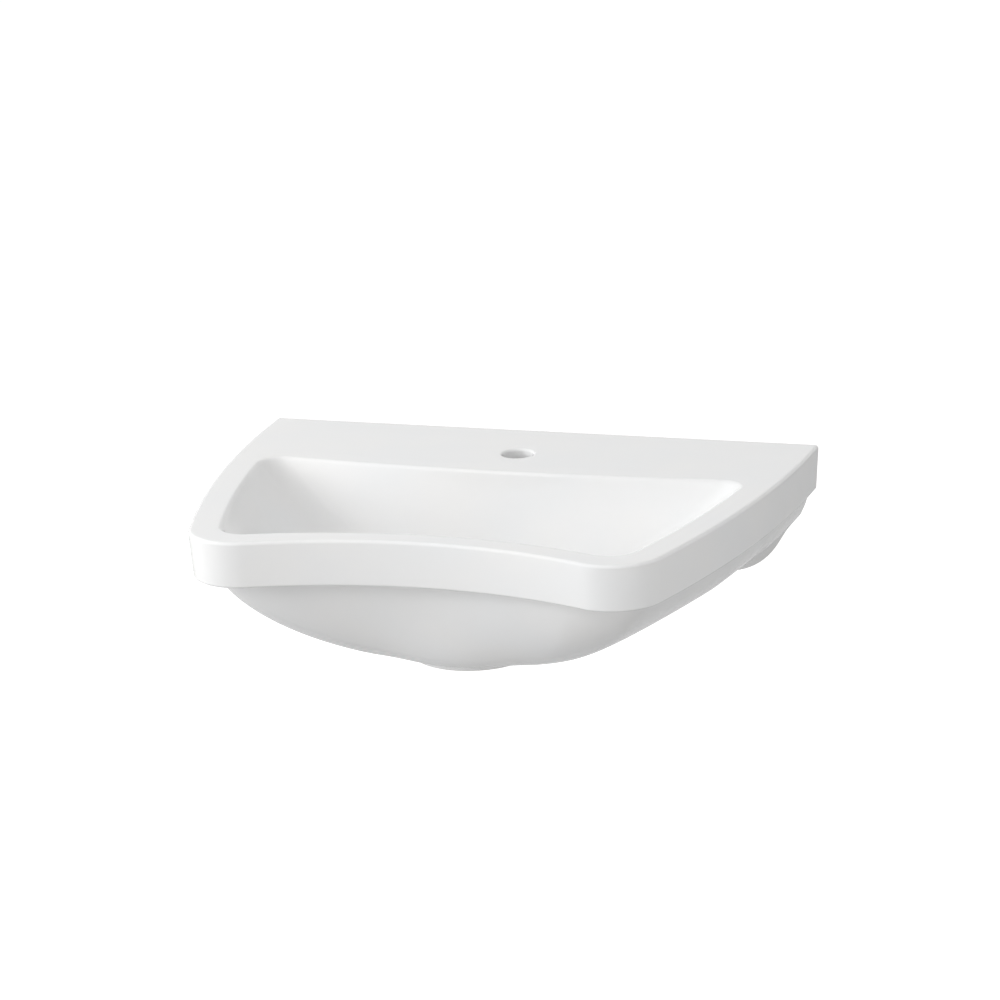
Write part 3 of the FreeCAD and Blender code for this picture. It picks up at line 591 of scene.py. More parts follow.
def make_china():
    """Glaze by its thickness, with the bare faces told apart by their place."""
    material, tree, shader = new_material("glazed_china", 0.1)
    flow = place_group(tree, flow_group, Wave_Scale=11.0, Peel_Scale=380.0, Peel_Share=0.05)
    position = tree.nodes.new("ShaderNodeSeparateXYZ")
    tree.links.new(tree.nodes.new("ShaderNodeTexCoord").outputs["Object"], position.inputs[0])
    back = math_node(tree, "GREATER_THAN", position.outputs["Y"], -BARE_BACK)
    foot = math_node(tree, "LESS_THAN", position.outputs["Z"], FOOT_Z + BARE_FOOT)
    bare = math_node(tree, "MAXIMUM", back, foot)
    mix = tree.nodes.new("ShaderNodeMix")
    mix.data_type = "RGBA"
    mix.inputs["A"].default_value = (*GLAZE_THIN, 1)
    mix.inputs["B"].default_value = (*GLAZE_THICK, 1)
    tree.links.new(flow.outputs["Thick"], mix.inputs["Factor"])
    over = tree.nodes.new("ShaderNodeMix")
    over.data_type = "RGBA"
    over.inputs["B"].default_value = (*BARE_BODY, 1)
    tree.links.new(bare, over.inputs["Factor"])
    tree.links.new(mix.outputs["Result"], over.inputs["A"])
    tree.links.new(over.outputs["Result"], shader.inputs["Base Color"])
    gloss = ramp(tree, flow.outputs["Thick"], 0.0, 1.0, 0.1, 0.06)
    tree.links.new(math_node(tree, "MULTIPLY_ADD", bare, 0.7, gloss), shader.inputs["Roughness"])
    bump(tree, shader, flow.outputs["Height"], 0.12 * MM)
    return material


china_material = make_china()
print("china:", len(china_material.node_tree.nodes), "nodes")

# %% [markdown]
# ## The china casting
# The casting is one closed skin, like a bent ring doughnut: from the outlet hole up the bowl, over the
# rim, down the apron, round the belly and back up through the outlet ring. Each ring of its grid is a
# plan of the basin at one height, so the whole shape needs only one question answered: how far from a
# centre line is the wall in a given direction? For arcs that is an exact formula.

# %% Rays against arcs
def ray_to_arc(angle, start, centre, radius, side):
    """Distance from start, along angle, to a circle: b + side * sqrt(b^2 - |start - centre|^2 + r^2),
    where b is how far along the ray the circle's centre lies. side is +1 for the far wall, -1 for the
    near one."""
    dx, dy = centre[0] - start[0], centre[1] - start[1]
    along = dx * np.cos(angle) + dy * np.sin(angle)
    return along + side * np.sqrt(np.maximum(along ** 2 - dx ** 2 - dy ** 2 + radius ** 2, 0))


def front_arcs(mid, lobe, lobe_r, side_r):
    """Lobe centre, hollow front arc's centre height and radius, each tangent to its neighbour."""
    lobe_y = lobe_r - lobe
    lobe_x = SIDE_X + math.sqrt((side_r - lobe_r) ** 2 - lobe_y ** 2)
    step = mid + lobe_y
    wave_r = (lobe_x ** 2 + step ** 2 - lobe_r ** 2) / (2 * (lobe_r - step))
    return (lobe_x, lobe_y), -(mid + wave_r), wave_r


RIM_LOBE, RIM_WAVE_Y, RIM_WAVE_R = front_arcs(FRONT_MID, FRONT_LOBE, LOBE_R, SIDE_R)
BELLY_AXIS = (0.0, BELLY_Y)
AHEAD = -math.pi / 2        # direction of the middle of the front


def joint_angles(start, lobe, lobe_r, wave_y):
    """Directions from start to where the side meets the lobe and where the lobe meets the front arc."""
    side_turn = math.atan2(lobe[1], lobe[0] - SIDE_X)
    wave_turn = math.atan2(wave_y - lobe[1], -lobe[0])
    joints = []
    for turn_angle in (side_turn, wave_turn):
        x = lobe[0] + lobe_r * math.cos(turn_angle)
        y = lobe[1] + lobe_r * math.sin(turn_angle)
        joints.append(math.atan2(y - start[1], x - start[0]))
    return joints


def rim_reach(angle, inset):
    """Distance from the belly's axis to the rim's outline, set in by inset: the side arc, then the lobe,
    then the hollow front arc. Behind the wall the outline runs straight back."""
    to_lobe, to_wave = joint_angles(BELLY_AXIS, RIM_LOBE, LOBE_R, RIM_WAVE_Y)
    sides = ray_to_arc(angle, BELLY_AXIS, (SIDE_X, 0), SIDE_R - inset, 1)
    lobes = ray_to_arc(angle, BELLY_AXIS, RIM_LOBE, LOBE_R - inset, 1)
    front = ray_to_arc(angle, BELLY_AXIS, (0, RIM_WAVE_Y), RIM_WAVE_R + inset, -1)
    out = np.where(angle > to_lobe, sides, np.where(angle > to_wave, lobes, front))
    straight = (HALF - inset) / np.maximum(np.cos(angle), 1e-6)
    return np.where(angle > np.arctan2(-BELLY_Y, HALF - inset), straight, out)


print(f"lobe centres at x = {RIM_LOBE[0]:.3f} m, hollow front arc of {RIM_WAVE_R:.3f} m")

# %% [markdown]
# The belly under the apron closes in with depth. A wall that is upright at first and then turns into a
# flat bottom is a power curve: reach = (1 - fall^drop)^(1 / turn). The sides use one pair of powers and
# the front another, and the direction blends them. At the front the belly keeps within a wide bow, so it
# runs nearly straight under the hollow rim. A skirt with rounded lower corners stands behind the belly
# against the wall, and the two meet in a soft valley, as slip-cast walls do.

# %% Belly and skirt
BELLY_DROP, BELLY_TURN, BELLY_BLEND = 1.09, 1.90, 0.96
SIDE_DROP, SIDE_TURN = 1.93, 1.00
VALLEY = 60 * MM           # softness of the meeting line
VALLEY_FADE = 30 * MM      # height under the apron over which it grows soft


def sweep_in(fall, drop, turn):
    """Share of its reach that a wall still has: (1 - fall^drop)^(1 / turn)."""
    return (1 - np.clip(fall, 0, 1) ** drop) ** (1 / turn)


def nearer_of(first, second, soft):
    """Smaller of two reaches with a soft meeting line: (a + b - sqrt((a - b)^2 + s^2)) / 2."""
    return (first + second - np.sqrt((first - second) ** 2 + soft ** 2)) / 2


def belly_reach(angle, depth, wall=0.0):
    """Distance from the belly's axis to the belly's wall at a depth under the rim."""
    far = rim_reach(angle, APRON_DRAFT)
    fall = (depth - APRON_H) / (BODY_DEPTH - APRON_H)
    half = HALF - APRON_DRAFT
    side_share = (BELLY_SIDE_FLAT + (half - BELLY_SIDE_INSET - BELLY_SIDE_FLAT)
                  * sweep_in(fall, SIDE_DROP, SIDE_TURN)) / half
    bow = ray_to_arc(angle, BELLY_AXIS, (0, BOW_R - BOW_FRONT), BOW_R, 1)
    tucked = nearer_of(far - BELLY_INSET, bow, BOW_SOFT)
    front = BELLY_FLAT_R + (tucked - BELLY_FLAT_R) * sweep_in(fall, BELLY_DROP, BELLY_TURN)
    ahead = np.maximum(0, -np.sin(angle)) ** BELLY_BLEND
    return far * side_share * (1 - ahead) + front * ahead - wall


def skirt_half(depth, wall=0.0):
    """Half width of the skirt at the wall: straight down, then round its lower corner."""
    low = np.clip(depth - (SKIRT_DEPTH - wall - SKIRT_R), 0, SKIRT_R)
    half = SKIRT_HALF - wall - SKIRT_R + np.sqrt(SKIRT_R ** 2 - low ** 2)
    return np.where(depth <= SKIRT_DEPTH - wall + 1e-9, half, 0.0)


def skirt_reach(angle, depth, wall=0.0):
    """Distance from the belly's axis to the skirt's side, which closes in away from the wall."""
    slope = SKIRT_FADE / SKIRT_REACH
    half = skirt_half(depth, wall)
    reach = (half + slope * BELLY_Y) / np.maximum(np.cos(angle) - slope * np.sin(angle), 1e-3)
    beyond = BELLY_Y + reach * np.sin(angle) < -SKIRT_REACH
    return np.where(beyond | (half == 0), 0.0, reach)


def softer_of(first, second, soft):
    """Larger of two reaches with a soft meeting line: (a + b + sqrt((a - b)^2 + s^2)) / 2."""
    blended = (first + second + np.sqrt((first - second) ** 2 + soft ** 2)) / 2
    return np.where(second > 0, blended, first)


print(f"belly's front under the apron: {belly_reach(AHEAD, APRON_H) - BELLY_Y:.3f} m from the wall")

# %% [markdown]
# Every ring has the same number of points, shared out in the same way: along the wall, down the side,
# round the lobe and into the hollow front. The points along the wall lie on y = 0, because that is where
# the casting is cut flat. Only the right half is worked out, and the left half is its mirror image.

# %% Outer rings
ON_BACK, ON_CORNER, ON_SIDE, ON_LOBE, ON_FRONT = 18, 12, 34, 26, 18
ALONG_WALL = ON_BACK + ON_CORNER // 2
ALONG_SIDE = ON_SIDE + ON_CORNER // 2


def whole_ring(x, y, z):
    """Right half rings (k, m), from the middle of the back to the middle of the front, mirrored."""
    z = z + 0 * x
    half = np.stack([x, y, z], axis=-1)
    other = half[:, -2:0:-1] * np.array([-1, 1, 1])
    return np.concatenate([half, other], axis=1)


def side_stations():
    """Directions of the rim's points from the wall corner to the middle of the front."""
    to_lobe, to_wave = joint_angles(BELLY_AXIS, RIM_LOBE, LOBE_R, RIM_WAVE_Y)
    corner = math.atan2(-BELLY_Y, HALF)
    runs = [np.linspace(corner, to_lobe, ALONG_SIDE + 1)[:-1],
            np.linspace(to_lobe, to_wave, ON_LOBE + 1)[:-1],
            np.linspace(to_wave, AHEAD, ON_FRONT + 1)]
    return np.concatenate(runs)


def wall_corner(reach, depth):
    """Direction of the point where each ring meets the wall: the reach's y is zero there. Halving the
    search range forty times finds it for all rings at once."""
    low, high = np.full_like(depth, 0.4), np.full_like(depth, 1.03)
    for _ in range(40):
        middle = (low + high) / 2
        behind = BELLY_Y + reach(middle, depth) * np.sin(middle) > 0
        low, high = np.where(behind, low, middle), np.where(behind, middle, high)
    return (low + high) / 2


def outer_rings(reach, depth):
    """Rings at depths (k, 1), where reach is a function of direction and depth. The rim's directions are
    stretched so that the first one points at the corner where the ring meets the wall."""
    base = side_stations()[None]
    corner = wall_corner(reach, depth)
    angle = AHEAD + (base - AHEAD) * (corner - AHEAD) / (base[0, 0] - AHEAD)
    far = reach(angle, depth)
    x, y = far * np.cos(angle), BELLY_Y + far * np.sin(angle)
    corner_x = x[:, :1].copy()
    y[:, 0] = 0.0
    x[:, -1] = 0.0
    along = np.linspace(0, 1, ALONG_WALL + 1)[None, :-1]
    x = np.concatenate([corner_x * along, x], axis=1)
    y = np.concatenate([0 * corner_x * along, np.minimum(y, 0)], axis=1)
    return whole_ring(x, y, RIM_Z - depth)


print(2 * (ALONG_WALL + len(side_stations())) - 2, "points in each ring")

# %% [markdown]
# The bowl is asked in the same way, but from the middle of the outlet. Its mouth is made of eight arcs:
# the bowed rear edge, two rear corners, two sides, two front corners and the hollow front.

# %% The bowl's mouth
OUTLET = (0.0, OUTLET_Y)
BOWL_SIDE_R = SIDE_R - RIM_SIDE
BOWL_LOBE_AT, BOWL_WAVE_Y, BOWL_WAVE_R = front_arcs(FRONT_MID - RIM_FRONT, BOWL_LOBE, BOWL_LOBE_R, BOWL_SIDE_R)


def back_corner():
    """Centre of the bowl's rear corner, tangent to the side arc and to the bowed rear edge."""
    x, y = HALF - RIM_SIDE, -DECK
    for _ in range(8):
        x = SIDE_X + math.sqrt((BOWL_SIDE_R - BACK_CORNER_R) ** 2 - y ** 2)
        y = BACK_R - DECK - math.sqrt((BACK_R + BACK_CORNER_R) ** 2 - x ** 2)
    return x, y


BACK_CORNER = back_corner()


def bowl_joints():
    """Directions from the outlet to the four joints of the bowl's outline, back to front."""
    away = math.atan2(BACK_R - DECK - BACK_CORNER[1], -BACK_CORNER[0])
    outward = math.atan2(BACK_CORNER[1], BACK_CORNER[0] - SIDE_X)
    joints = []
    for turn_angle in (away, outward):
        x = BACK_CORNER[0] + BACK_CORNER_R * math.cos(turn_angle)
        y = BACK_CORNER[1] + BACK_CORNER_R * math.sin(turn_angle)
        joints.append(math.atan2(y - OUTLET_Y, x))
    return joints + joint_angles(OUTLET, BOWL_LOBE_AT, BOWL_LOBE_R, BOWL_WAVE_Y)


def mouth_reach(angle):
    """Distance from the outlet to the bowl's mouth."""
    to_corner, to_side, to_lobe, to_wave = bowl_joints()
    back = ray_to_arc(angle, OUTLET, (0, BACK_R - DECK), BACK_R, -1)
    corner = ray_to_arc(angle, OUTLET, BACK_CORNER, BACK_CORNER_R, 1)
    side = ray_to_arc(angle, OUTLET, (SIDE_X, 0), BOWL_SIDE_R, 1)
    lobe = ray_to_arc(angle, OUTLET, BOWL_LOBE_AT, BOWL_LOBE_R, 1)
    wave = ray_to_arc(angle, OUTLET, (0, BOWL_WAVE_Y), BOWL_WAVE_R, -1)
    steps = [angle > to_corner, angle > to_side, angle > to_lobe, angle > to_wave]
    return np.select(steps, [back, corner, side, lobe], wave)


print("directions of the joints:", [round(math.degrees(joint)) for joint in bowl_joints()])
# %% [markdown]
# Near the floor the mouth's corners melt into an oval, and the oval sweeps in to the circle round the
# waste. That keeps the wall steep at the rim and lets it run out gently, so that water drains.

# %% The bowl's wall
BOWL_DROP, BOWL_TURN, BOWL_SOFT = 1.6, 1.5, 0.9


def bowl_reach(angle, depth, wall=0.0):
    """Distance from the outlet to the bowl's wall: the mouth melts into an oval, and the oval sweeps in
    to the floor."""
    far = mouth_reach(angle)
    fall = np.clip(depth / BOWL_DEPTH, 0, 1)
    across = HALF - RIM_SIDE - BOWL_SOFT_IN
    deep = np.where(np.sin(angle) > 0, -OUTLET_Y - DECK, FRONT_MID - RIM_FRONT + OUTLET_Y)
    oval = 1 / np.hypot(np.cos(angle) / across, np.sin(angle) / deep)
    soft = far + (oval - far) * BOWL_SOFT * fall
    return FLOOR_R + (soft - FLOOR_R) * sweep_in(fall, BOWL_DROP, BOWL_TURN) + wall


def bowl_stations():
    """Directions of the bowl's points from the middle of the back to the middle of the front."""
    stops = [math.pi / 2] + bowl_joints() + [AHEAD]
    counts = [ON_BACK, ON_CORNER, ON_SIDE, ON_LOBE, ON_FRONT]
    runs = [np.linspace(a, b, n + 1)[:-1] for a, b, n in zip(stops, stops[1:], counts)]
    return np.concatenate(runs + [np.array([AHEAD])])


def about_outlet(reach, height):
    """Rings (k, m) of reaches from the outlet, at heights (k, 1)."""
    angle = bowl_stations()[None]
    x = reach * np.cos(angle)
    x[:, 0] = x[:, -1] = 0.0
    return whole_ring(x, OUTLET_Y + reach * np.sin(angle), height)


def plan_normals(rings):
    """Unit normals of closed rings within their planes, pointing away from the outlet."""
    along = np.roll(rings, -1, axis=1) - np.roll(rings, 1, axis=1)
    normal = np.stack([along[..., 1], -along[..., 0], 0 * along[..., 0]], axis=-1)
    normal /= np.linalg.norm(normal, axis=-1, keepdims=True)
    outward = np.sum(normal * (rings - OUTLET_AXIS), axis=(1, 2), keepdims=True)
    return normal * np.sign(outward)


print(len(bowl_stations()), "directions from the back to the front")

# %% [markdown]
# Now the profile is put together from the outlet hole outwards. Where the bowl turns over into the rim,
# and the rim into the apron, the ring moves by a quarter circle. On level ground, such as the deck and
# the flat bottom, a few rings between two others are enough.

# %% Rings of the bowl
BOWL_RINGS = 56


def between(first, last, count):
    """Rings spaced evenly from the first to the last, both left out."""
    share = np.linspace(0, 1, count + 2)[1:-1, None, None]
    return first[None] * (1 - share) + last[None] * share


def outlet_rings():
    """Hole, recess for the waste's flange and level floor, as circles about the outlet."""
    profile = rounded([(OUTLET_R, UNDER_Z + 1 * MM, 0), (OUTLET_R, SEAT_Z, 1 * MM), (RECESS_R, SEAT_Z, 0.6 * MM),
                       (RECESS_R, FLOOR_Z, 1.5 * MM), (FLOOR_R, FLOOR_Z, 0)], 4)
    ones = np.ones((1, len(bowl_stations())))
    return about_outlet(profile[:, :1] * ones, profile[:, 1:])


def bowl_rings():
    """Bowl wall from the floor up to where the mouth starts to round over."""
    fall_at_mouth = MOUTH_ROUND / BOWL_DEPTH
    lowest = math.asin(fall_at_mouth) * 2 / math.pi
    share = np.sin(np.linspace(1, lowest, BOWL_RINGS)[1:, None] * math.pi / 2)
    depth = share * BOWL_DEPTH
    return about_outlet(bowl_reach(bowl_stations()[None], depth), RIM_Z - depth)


def mouth_rings():
    """Quarter circle of MOUTH_ROUND from the bowl's wall out to the level rim."""
    turn_angle = np.linspace(0, math.pi / 2, 11)[1:, None]
    depth = MOUTH_ROUND * (1 - np.sin(turn_angle))
    rings = about_outlet(bowl_reach(bowl_stations()[None], depth), RIM_Z - depth)
    return rings + plan_normals(rings) * (MOUTH_ROUND * (1 - np.cos(turn_angle)))[..., None]


# %% [markdown]
# The apron is a slab with rounded edges. At the sides the belly stands out nearly as far as the apron, so
# the rings of the apron's lower edge give way to it there. A little glaze gathers in the corner between
# the ledge and the belly, as a fillet.

# %% Rings of the apron
RIM_BAND = 80 * MM         # length of the slab's level runs, more than enough for its edges
LEDGE_FILLET = 0.2         # fillet's radius as a share of the ledge's width


def slab_rings():
    """Rim edge, drafted apron and its lower edge. Where the belly stands further out than the rounded
    lower edge, as it does at the sides, the ring follows the belly."""
    profile = rounded([(RIM_BAND, 0, 0), (0, 0, RIM_ROUND), (APRON_DRAFT, APRON_H, APRON_ROUND),
                       (RIM_BAND, APRON_H, 0)], 12)[1:-1]
    rings = []
    for inset, depth in profile:
        def reach(angle, at, inset=inset):
            slab = rim_reach(angle, inset)
            if at.max() < APRON_H - APRON_ROUND:
                return slab
            return np.maximum(slab, belly_reach(angle, at) + ledge_fillet(angle, at))
        rings.append(outer_rings(reach, np.array([[depth]])))
    return np.concatenate(rings)


def ledge_fillet(angle, depth):
    """Glaze in the corner between the ledge and the belly: a quarter circle hollow."""
    ledge = rim_reach(angle, APRON_DRAFT) - belly_reach(angle, np.array([[APRON_H]]))
    radius = LEDGE_FILLET * ledge
    below = np.clip(depth - APRON_H, 0, None)
    inside = np.maximum(radius ** 2 - np.maximum(radius - below, 0) ** 2, 0)
    return np.where(below < radius, radius - np.sqrt(inside), 0)


def ledge_rings(count=4):
    """Level ledge under the apron, from its rounded edge in to the belly."""
    start = APRON_DRAFT + APRON_ROUND
    rings = []
    for share in np.linspace(0, 1, count + 2)[1:-1]:
        def reach(angle, at, share=share):
            belly = belly_reach(angle, at) + ledge_fillet(angle, at)
            outside = np.maximum(rim_reach(angle, start), belly)
            return outside + (belly - outside) * share
        rings.append(outer_rings(reach, np.array([[APRON_H]])))
    return np.concatenate(rings)


# %% [markdown]
# From the ledge the rings go down the belly, a little closer together where it turns, and then through
# the foot ring into the pocket. The last ring lies where the first one began, and the skin is closed.

# %% Rings of the belly and foot
BELLY_RINGS = 54
NEAR_LEDGE = np.array([0.15, 0.5, 1.0, 2.0]) * MM    # extra rings where the fillet is


def belly_rings():
    """Belly and skirt from the ledge down to the flat bottom, closer together where they turn."""
    depth = APRON_H + (BODY_DEPTH - APRON_H) * np.sin(np.linspace(0, 1, BELLY_RINGS) * math.pi / 2)
    depth = np.sort(np.concatenate([depth, [SKIRT_DEPTH, SKIRT_DEPTH + 0.01 * MM],
                                    APRON_H + NEAR_LEDGE]))[:, None]

    def reach(angle, at):
        belly = belly_reach(angle, at) + ledge_fillet(angle, at)
        soft = VALLEY * np.clip((at - APRON_H) / VALLEY_FADE, 0, 1)
        return softer_of(belly, skirt_reach(angle, at), soft)
    return outer_rings(reach, depth)


def foot_rings():
    """Outlet ring under the belly, its end face and the pocket inside it."""
    profile = rounded([(FOOT_R, BELLY_Z, 0), (FOOT_R - FOOT_DRAFT, BELLY_Z, 1.5 * MM),
                       (FOOT_R - 2 * FOOT_DRAFT, FOOT_Z, 2 * MM), (POCKET_R, FOOT_Z, 1.5 * MM),
                       (POCKET_R, UNDER_Z, 2 * MM), (OUTLET_R, UNDER_Z, 1 * MM), (OUTLET_R, UNDER_Z + 1 * MM, 0)], 5)
    ones = np.ones((1, len(bowl_stations())))
    return about_outlet(profile[:-1, :1] * ones, profile[:-1, 1:])


def china_skin():
    """All rings of the casting, from the outlet hole round and back."""
    inner = np.concatenate([outlet_rings(), bowl_rings(), mouth_rings()])
    apron = slab_rings()
    belly = belly_rings()
    foot = foot_rings()
    return np.concatenate([inner, between(inner[-1], apron[0], 5), apron, ledge_rings(), belly,
                           between(belly[-1], foot[0], 4), foot])


china = ring_surface("china_basin", china_skin(), tube=True)

# %% [markdown]
# ## Holes and the hollow
# Behind the bowl a slip-cast basin is hollow, with one opening underneath where the nuts are reached.
# The holes are cut with Boolean modifiers, because each cutter is itself a simple grid: the room is the
# belly's own surface, one wall thickness further in, less the wall round the bowl.

# %% Cutter for the hollow
SHELL = 12 * MM
BOWL_WALL = 11 * MM
DECK_T = 15 * MM
WALL_PLATE = 18 * MM
HOLLOW_FRONT = 300 * MM
ACCESS_HALF = 165 * MM     # opening underneath
ACCESS_R = 25 * MM
FAR = 9.0                  # further than any wall


def capped(rings):
    """Rings with a pole added at each end, so that the skin over them is closed."""
    ends = [np.repeat(rings[i].mean(axis=0)[None], rings.shape[1], axis=0)[None] for i in (0, -1)]
    return np.concatenate([ends[0], rings, ends[1]])


def room_cutter():
    """Hollow behind the bowl: the inner wall of belly and skirt, kept between the wall plate and the
    front of the hollow."""
    angle = np.linspace(0, 2 * np.pi, 288, endpoint=False)[None]
    folded = np.arcsin(np.sin(angle))
    steps = np.sin(np.linspace(0, 1, 20) * math.pi / 2)
    depth = np.concatenate([[DECK_T], APRON_H + (BODY_DEPTH - SHELL - APRON_H) * steps])[:, None]
    reach = np.maximum(belly_reach(folded, depth, SHELL), skirt_reach(folded, depth, SHELL))
    down = np.sin(folded)
    reach = np.minimum(reach, np.where(down > 0.01, (-WALL_PLATE - BELLY_Y) / np.maximum(down, 0.01), FAR))
    ahead = (HOLLOW_FRONT + BELLY_Y) / np.maximum(-down, 0.01)
    reach = np.minimum(reach, np.where(down < -0.01, ahead, FAR))
    rings = np.stack([reach * np.cos(angle), BELLY_Y + reach * np.sin(angle), RIM_Z - depth + 0 * angle], axis=-1)
    return ring_surface("room_cutter", capped(rings))


def bowl_block():
    """Outside of the wall round the bowl, as a solid."""
    share = np.sin(np.linspace(0, 1, 24)[:, None] * math.pi / 2)
    depth = share * BOWL_DEPTH
    height = RIM_Z - depth - BOWL_WALL * share
    height[0] += 5 * MM
    rings = about_outlet(bowl_reach(bowl_stations()[None], depth, BOWL_WALL), height)
    return ring_surface("bowl_block", capped(rings[:, ::2]))


def access_cutter():
    """Upright block with rounded corners for the opening underneath."""
    low_y, high_y = OUTLET_Y + FOOT_R + SHELL, -WALL_PLATE
    outline = rounded([(ACCESS_HALF, high_y, ACCESS_R), (-ACCESS_HALF, high_y, ACCESS_R),
                       (-ACCESS_HALF, low_y, ACCESS_R), (ACCESS_HALF, low_y, ACCESS_R)], 10, closed=True)
    levels = np.array([RIM_Z - APRON_H, RIM_Z - BODY_DEPTH - APRON_H])[:, None]
    x, y = outline[:, 0] + 0 * levels, outline[:, 1] + 0 * levels
    return ring_surface("access_cutter", capped(np.stack([x, y, levels + 0 * x], axis=-1)))


# %% [markdown]
# The tap hole and the two fixing holes are turned cutters. The tap hole's cutter flares at the top, which
# leaves the soft edge that glaze gives a hole.

# %% Cutters for the holes
TAP_Y = -92 * MM
TAP_R = 17.5 * MM
TAP_ROUND = 3 * MM
FIX_X = 140 * MM           # half the distance between the fixing holes
FIX_HOLE_R = 8 * MM


def tap_cutter():
    """Tap hole with a rounded mouth that meets the deck level."""
    past = 0.02 * MM
    turn_angle = np.linspace(0, math.pi / 2, 9)
    mouth = np.stack([TAP_R + TAP_ROUND * (1 - np.cos(turn_angle)),
                      RIM_Z - TAP_ROUND + TAP_ROUND * np.sin(turn_angle) + past], axis=-1)
    top = RIM_Z + 8 * MM
    low = RIM_Z - 2.5 * DECK_T
    profile = np.concatenate([[[0, low], [TAP_R, low]], mouth, [[TAP_R + TAP_ROUND, top], [0, top]]])
    return lathe("tap_cutter", profile, np.array([0, TAP_Y, 0]), tube=False)


def hole_cutter(x):
    """Fixing hole through the wall plate, along y."""
    ends = 2 * WALL_PLATE
    profile = np.array([[0, -ends], [FIX_HOLE_R, -ends], [FIX_HOLE_R, ends], [0, ends]])
    return lathe("hole_cutter", profile, np.array([x, 0, 0]), ALONG_Y, 48, tube=False)


# %% [markdown]
# A Boolean modifier takes one solid away from another. The exact solver is slower, but it keeps the skin
# closed where cuts cross curved walls. Each result becomes the piece's own mesh, and edges that are
# steeper than an angle stay sharp to the eye.

# %% Cut the casting
def boolean(piece, cutter, operation="DIFFERENCE"):
    """Exact Boolean modifier, applied at once. The cutter is removed."""
    modifier = piece.modifiers.new(cutter.name, "BOOLEAN")
    modifier.solver = "EXACT"
    modifier.operation = operation
    modifier.object = cutter
    evaluated = piece.evaluated_get(bpy.context.evaluated_depsgraph_get())
    mesh = bpy.data.meshes.new_from_object(evaluated)
    piece.modifiers.clear()
    piece.data = mesh
    bpy.data.objects.remove(cutter)


room = room_cutter()
boolean(room, access_cutter(), "UNION")
boolean(room, bowl_block())
boolean(china, room)
boolean(china, tap_cutter())
for side in (-1, 1):
    boolean(china, hole_cutter(side * FIX_X))


def sharpen(piece, degrees=32.0):
    """Smooth shading that breaks at edges steeper than an angle."""
    piece.data.shade_smooth()
    piece.data.set_sharp_from_angle(angle=math.radians(degrees))


sharpen(china)
china.data.materials.clear()
china.data.materials.append(china_material)
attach(china, "basin")
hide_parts("basin_body")
print("china after cutting:", len(china.data.polygons), "faces")

# %% [markdown]
# ## Finishes of the small pieces
# The fittings are metals, rubber and plastics. Two recipes cover them, one with scuffs and one with a
# flowed skin, and each finish fills in its own colours, gloss, scale of pattern and depth of surface.

# %% Small materials
def make_metal(name, colour, shade, rough, rough_scuffed, scale, grain):
    """Metal with scuffs that dull it and a fine grain in its height."""
    material, tree, shader = new_material(name, rough, metallic=1.0)
    scuffs = place_group(tree, scuff_group, Scale=scale, Grain_Scale=900.0)
    colour_mix(tree, shader, scuffs.outputs["Mask"], colour, shade)
    tree.links.new(ramp(tree, scuffs.outputs["Mask"], 0, 1, rough, rough_scuffed), shader.inputs["Roughness"])
    bump(tree, shader, scuffs.outputs["Grain"], grain)
    return material


def make_moulded(name, colour, shade, rough, wave, peel, depth):
    """Moulded plastic or rubber: a flowed skin with slightly uneven colour and gloss."""
    material, tree, shader = new_material(name, rough)
    flow = place_group(tree, flow_group, Wave_Scale=wave, Peel_Scale=peel, Peel_Share=0.6)
    colour_mix(tree, shader, flow.outputs["Thick"], colour, shade)
    tree.links.new(ramp(tree, flow.outputs["Thick"], 0, 1, rough, rough * 1.25), shader.inputs["Roughness"])
    bump(tree, shader, flow.outputs["Height"], depth)
    return material


finishes = {
    "chrome": make_metal("bright_chrome", (0.82, 0.83, 0.85), (0.74, 0.75, 0.77), 0.05, 0.14, 70.0, 0.004 * MM),
    "zinc_steel": make_metal("zinc_plated_steel", (0.60, 0.61, 0.62), (0.47, 0.47, 0.46), 0.28, 0.42, 130.0,
                             0.02 * MM),
    "nut_brass": make_metal("cast_brass", (0.74, 0.58, 0.30), (0.60, 0.45, 0.22), 0.30, 0.45, 110.0, 0.03 * MM),
    "spring_steel": make_metal("spring_wire", (0.52, 0.53, 0.54), (0.42, 0.42, 0.42), 0.22, 0.34, 200.0, 0.006 * MM),
    "plug_nylon": make_moulded("grey_nylon", (0.42, 0.43, 0.44), (0.37, 0.38, 0.39), 0.42, 60.0, 700.0, 0.03 * MM),
    "bush_nylon": make_moulded("natural_nylon", (0.72, 0.70, 0.63), (0.67, 0.65, 0.58), 0.38, 70.0, 700.0, 0.03 * MM),
    "seal_rubber": make_moulded("black_rubber", (0.035, 0.035, 0.037), (0.055, 0.055, 0.056), 0.55, 80.0, 800.0,
                                0.03 * MM),
    "ring_rubber": make_moulded("soft_ring_rubber", (0.05, 0.05, 0.052), (0.07, 0.07, 0.072), 0.45, 90.0, 800.0,
                                0.02 * MM),
    "cartridge_plastic": make_moulded("acetal", (0.80, 0.80, 0.79), (0.75, 0.75, 0.74), 0.30, 90.0, 600.0,
                                      0.02 * MM),
}
print("finishes:", ", ".join(finishes))


def dress(piece, body, node, finish):
    """Give a piece its finish, let it ride on its body and stand for its CAD node."""
    piece.data.materials.clear()
    piece.data.materials.append(finishes[finish])
    sharpen(piece)
    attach(piece, body)
    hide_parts(node)


# %% [markdown]
# ## Nuts
# A hexagon nut is turned from a bar, and a cone takes its corners off. So its reach in any direction is
# the smaller of two: the hexagon's and the cone's. The curved edges on its corners then appear by
# themselves, just where the cone runs out of the flats.

# %% Hexagon nuts
FACE_SHARE = 0.94          # round face of a nut, as a share of its width
CONE_SLOPE = math.sqrt(3)  # a cone at 30 degrees to the face


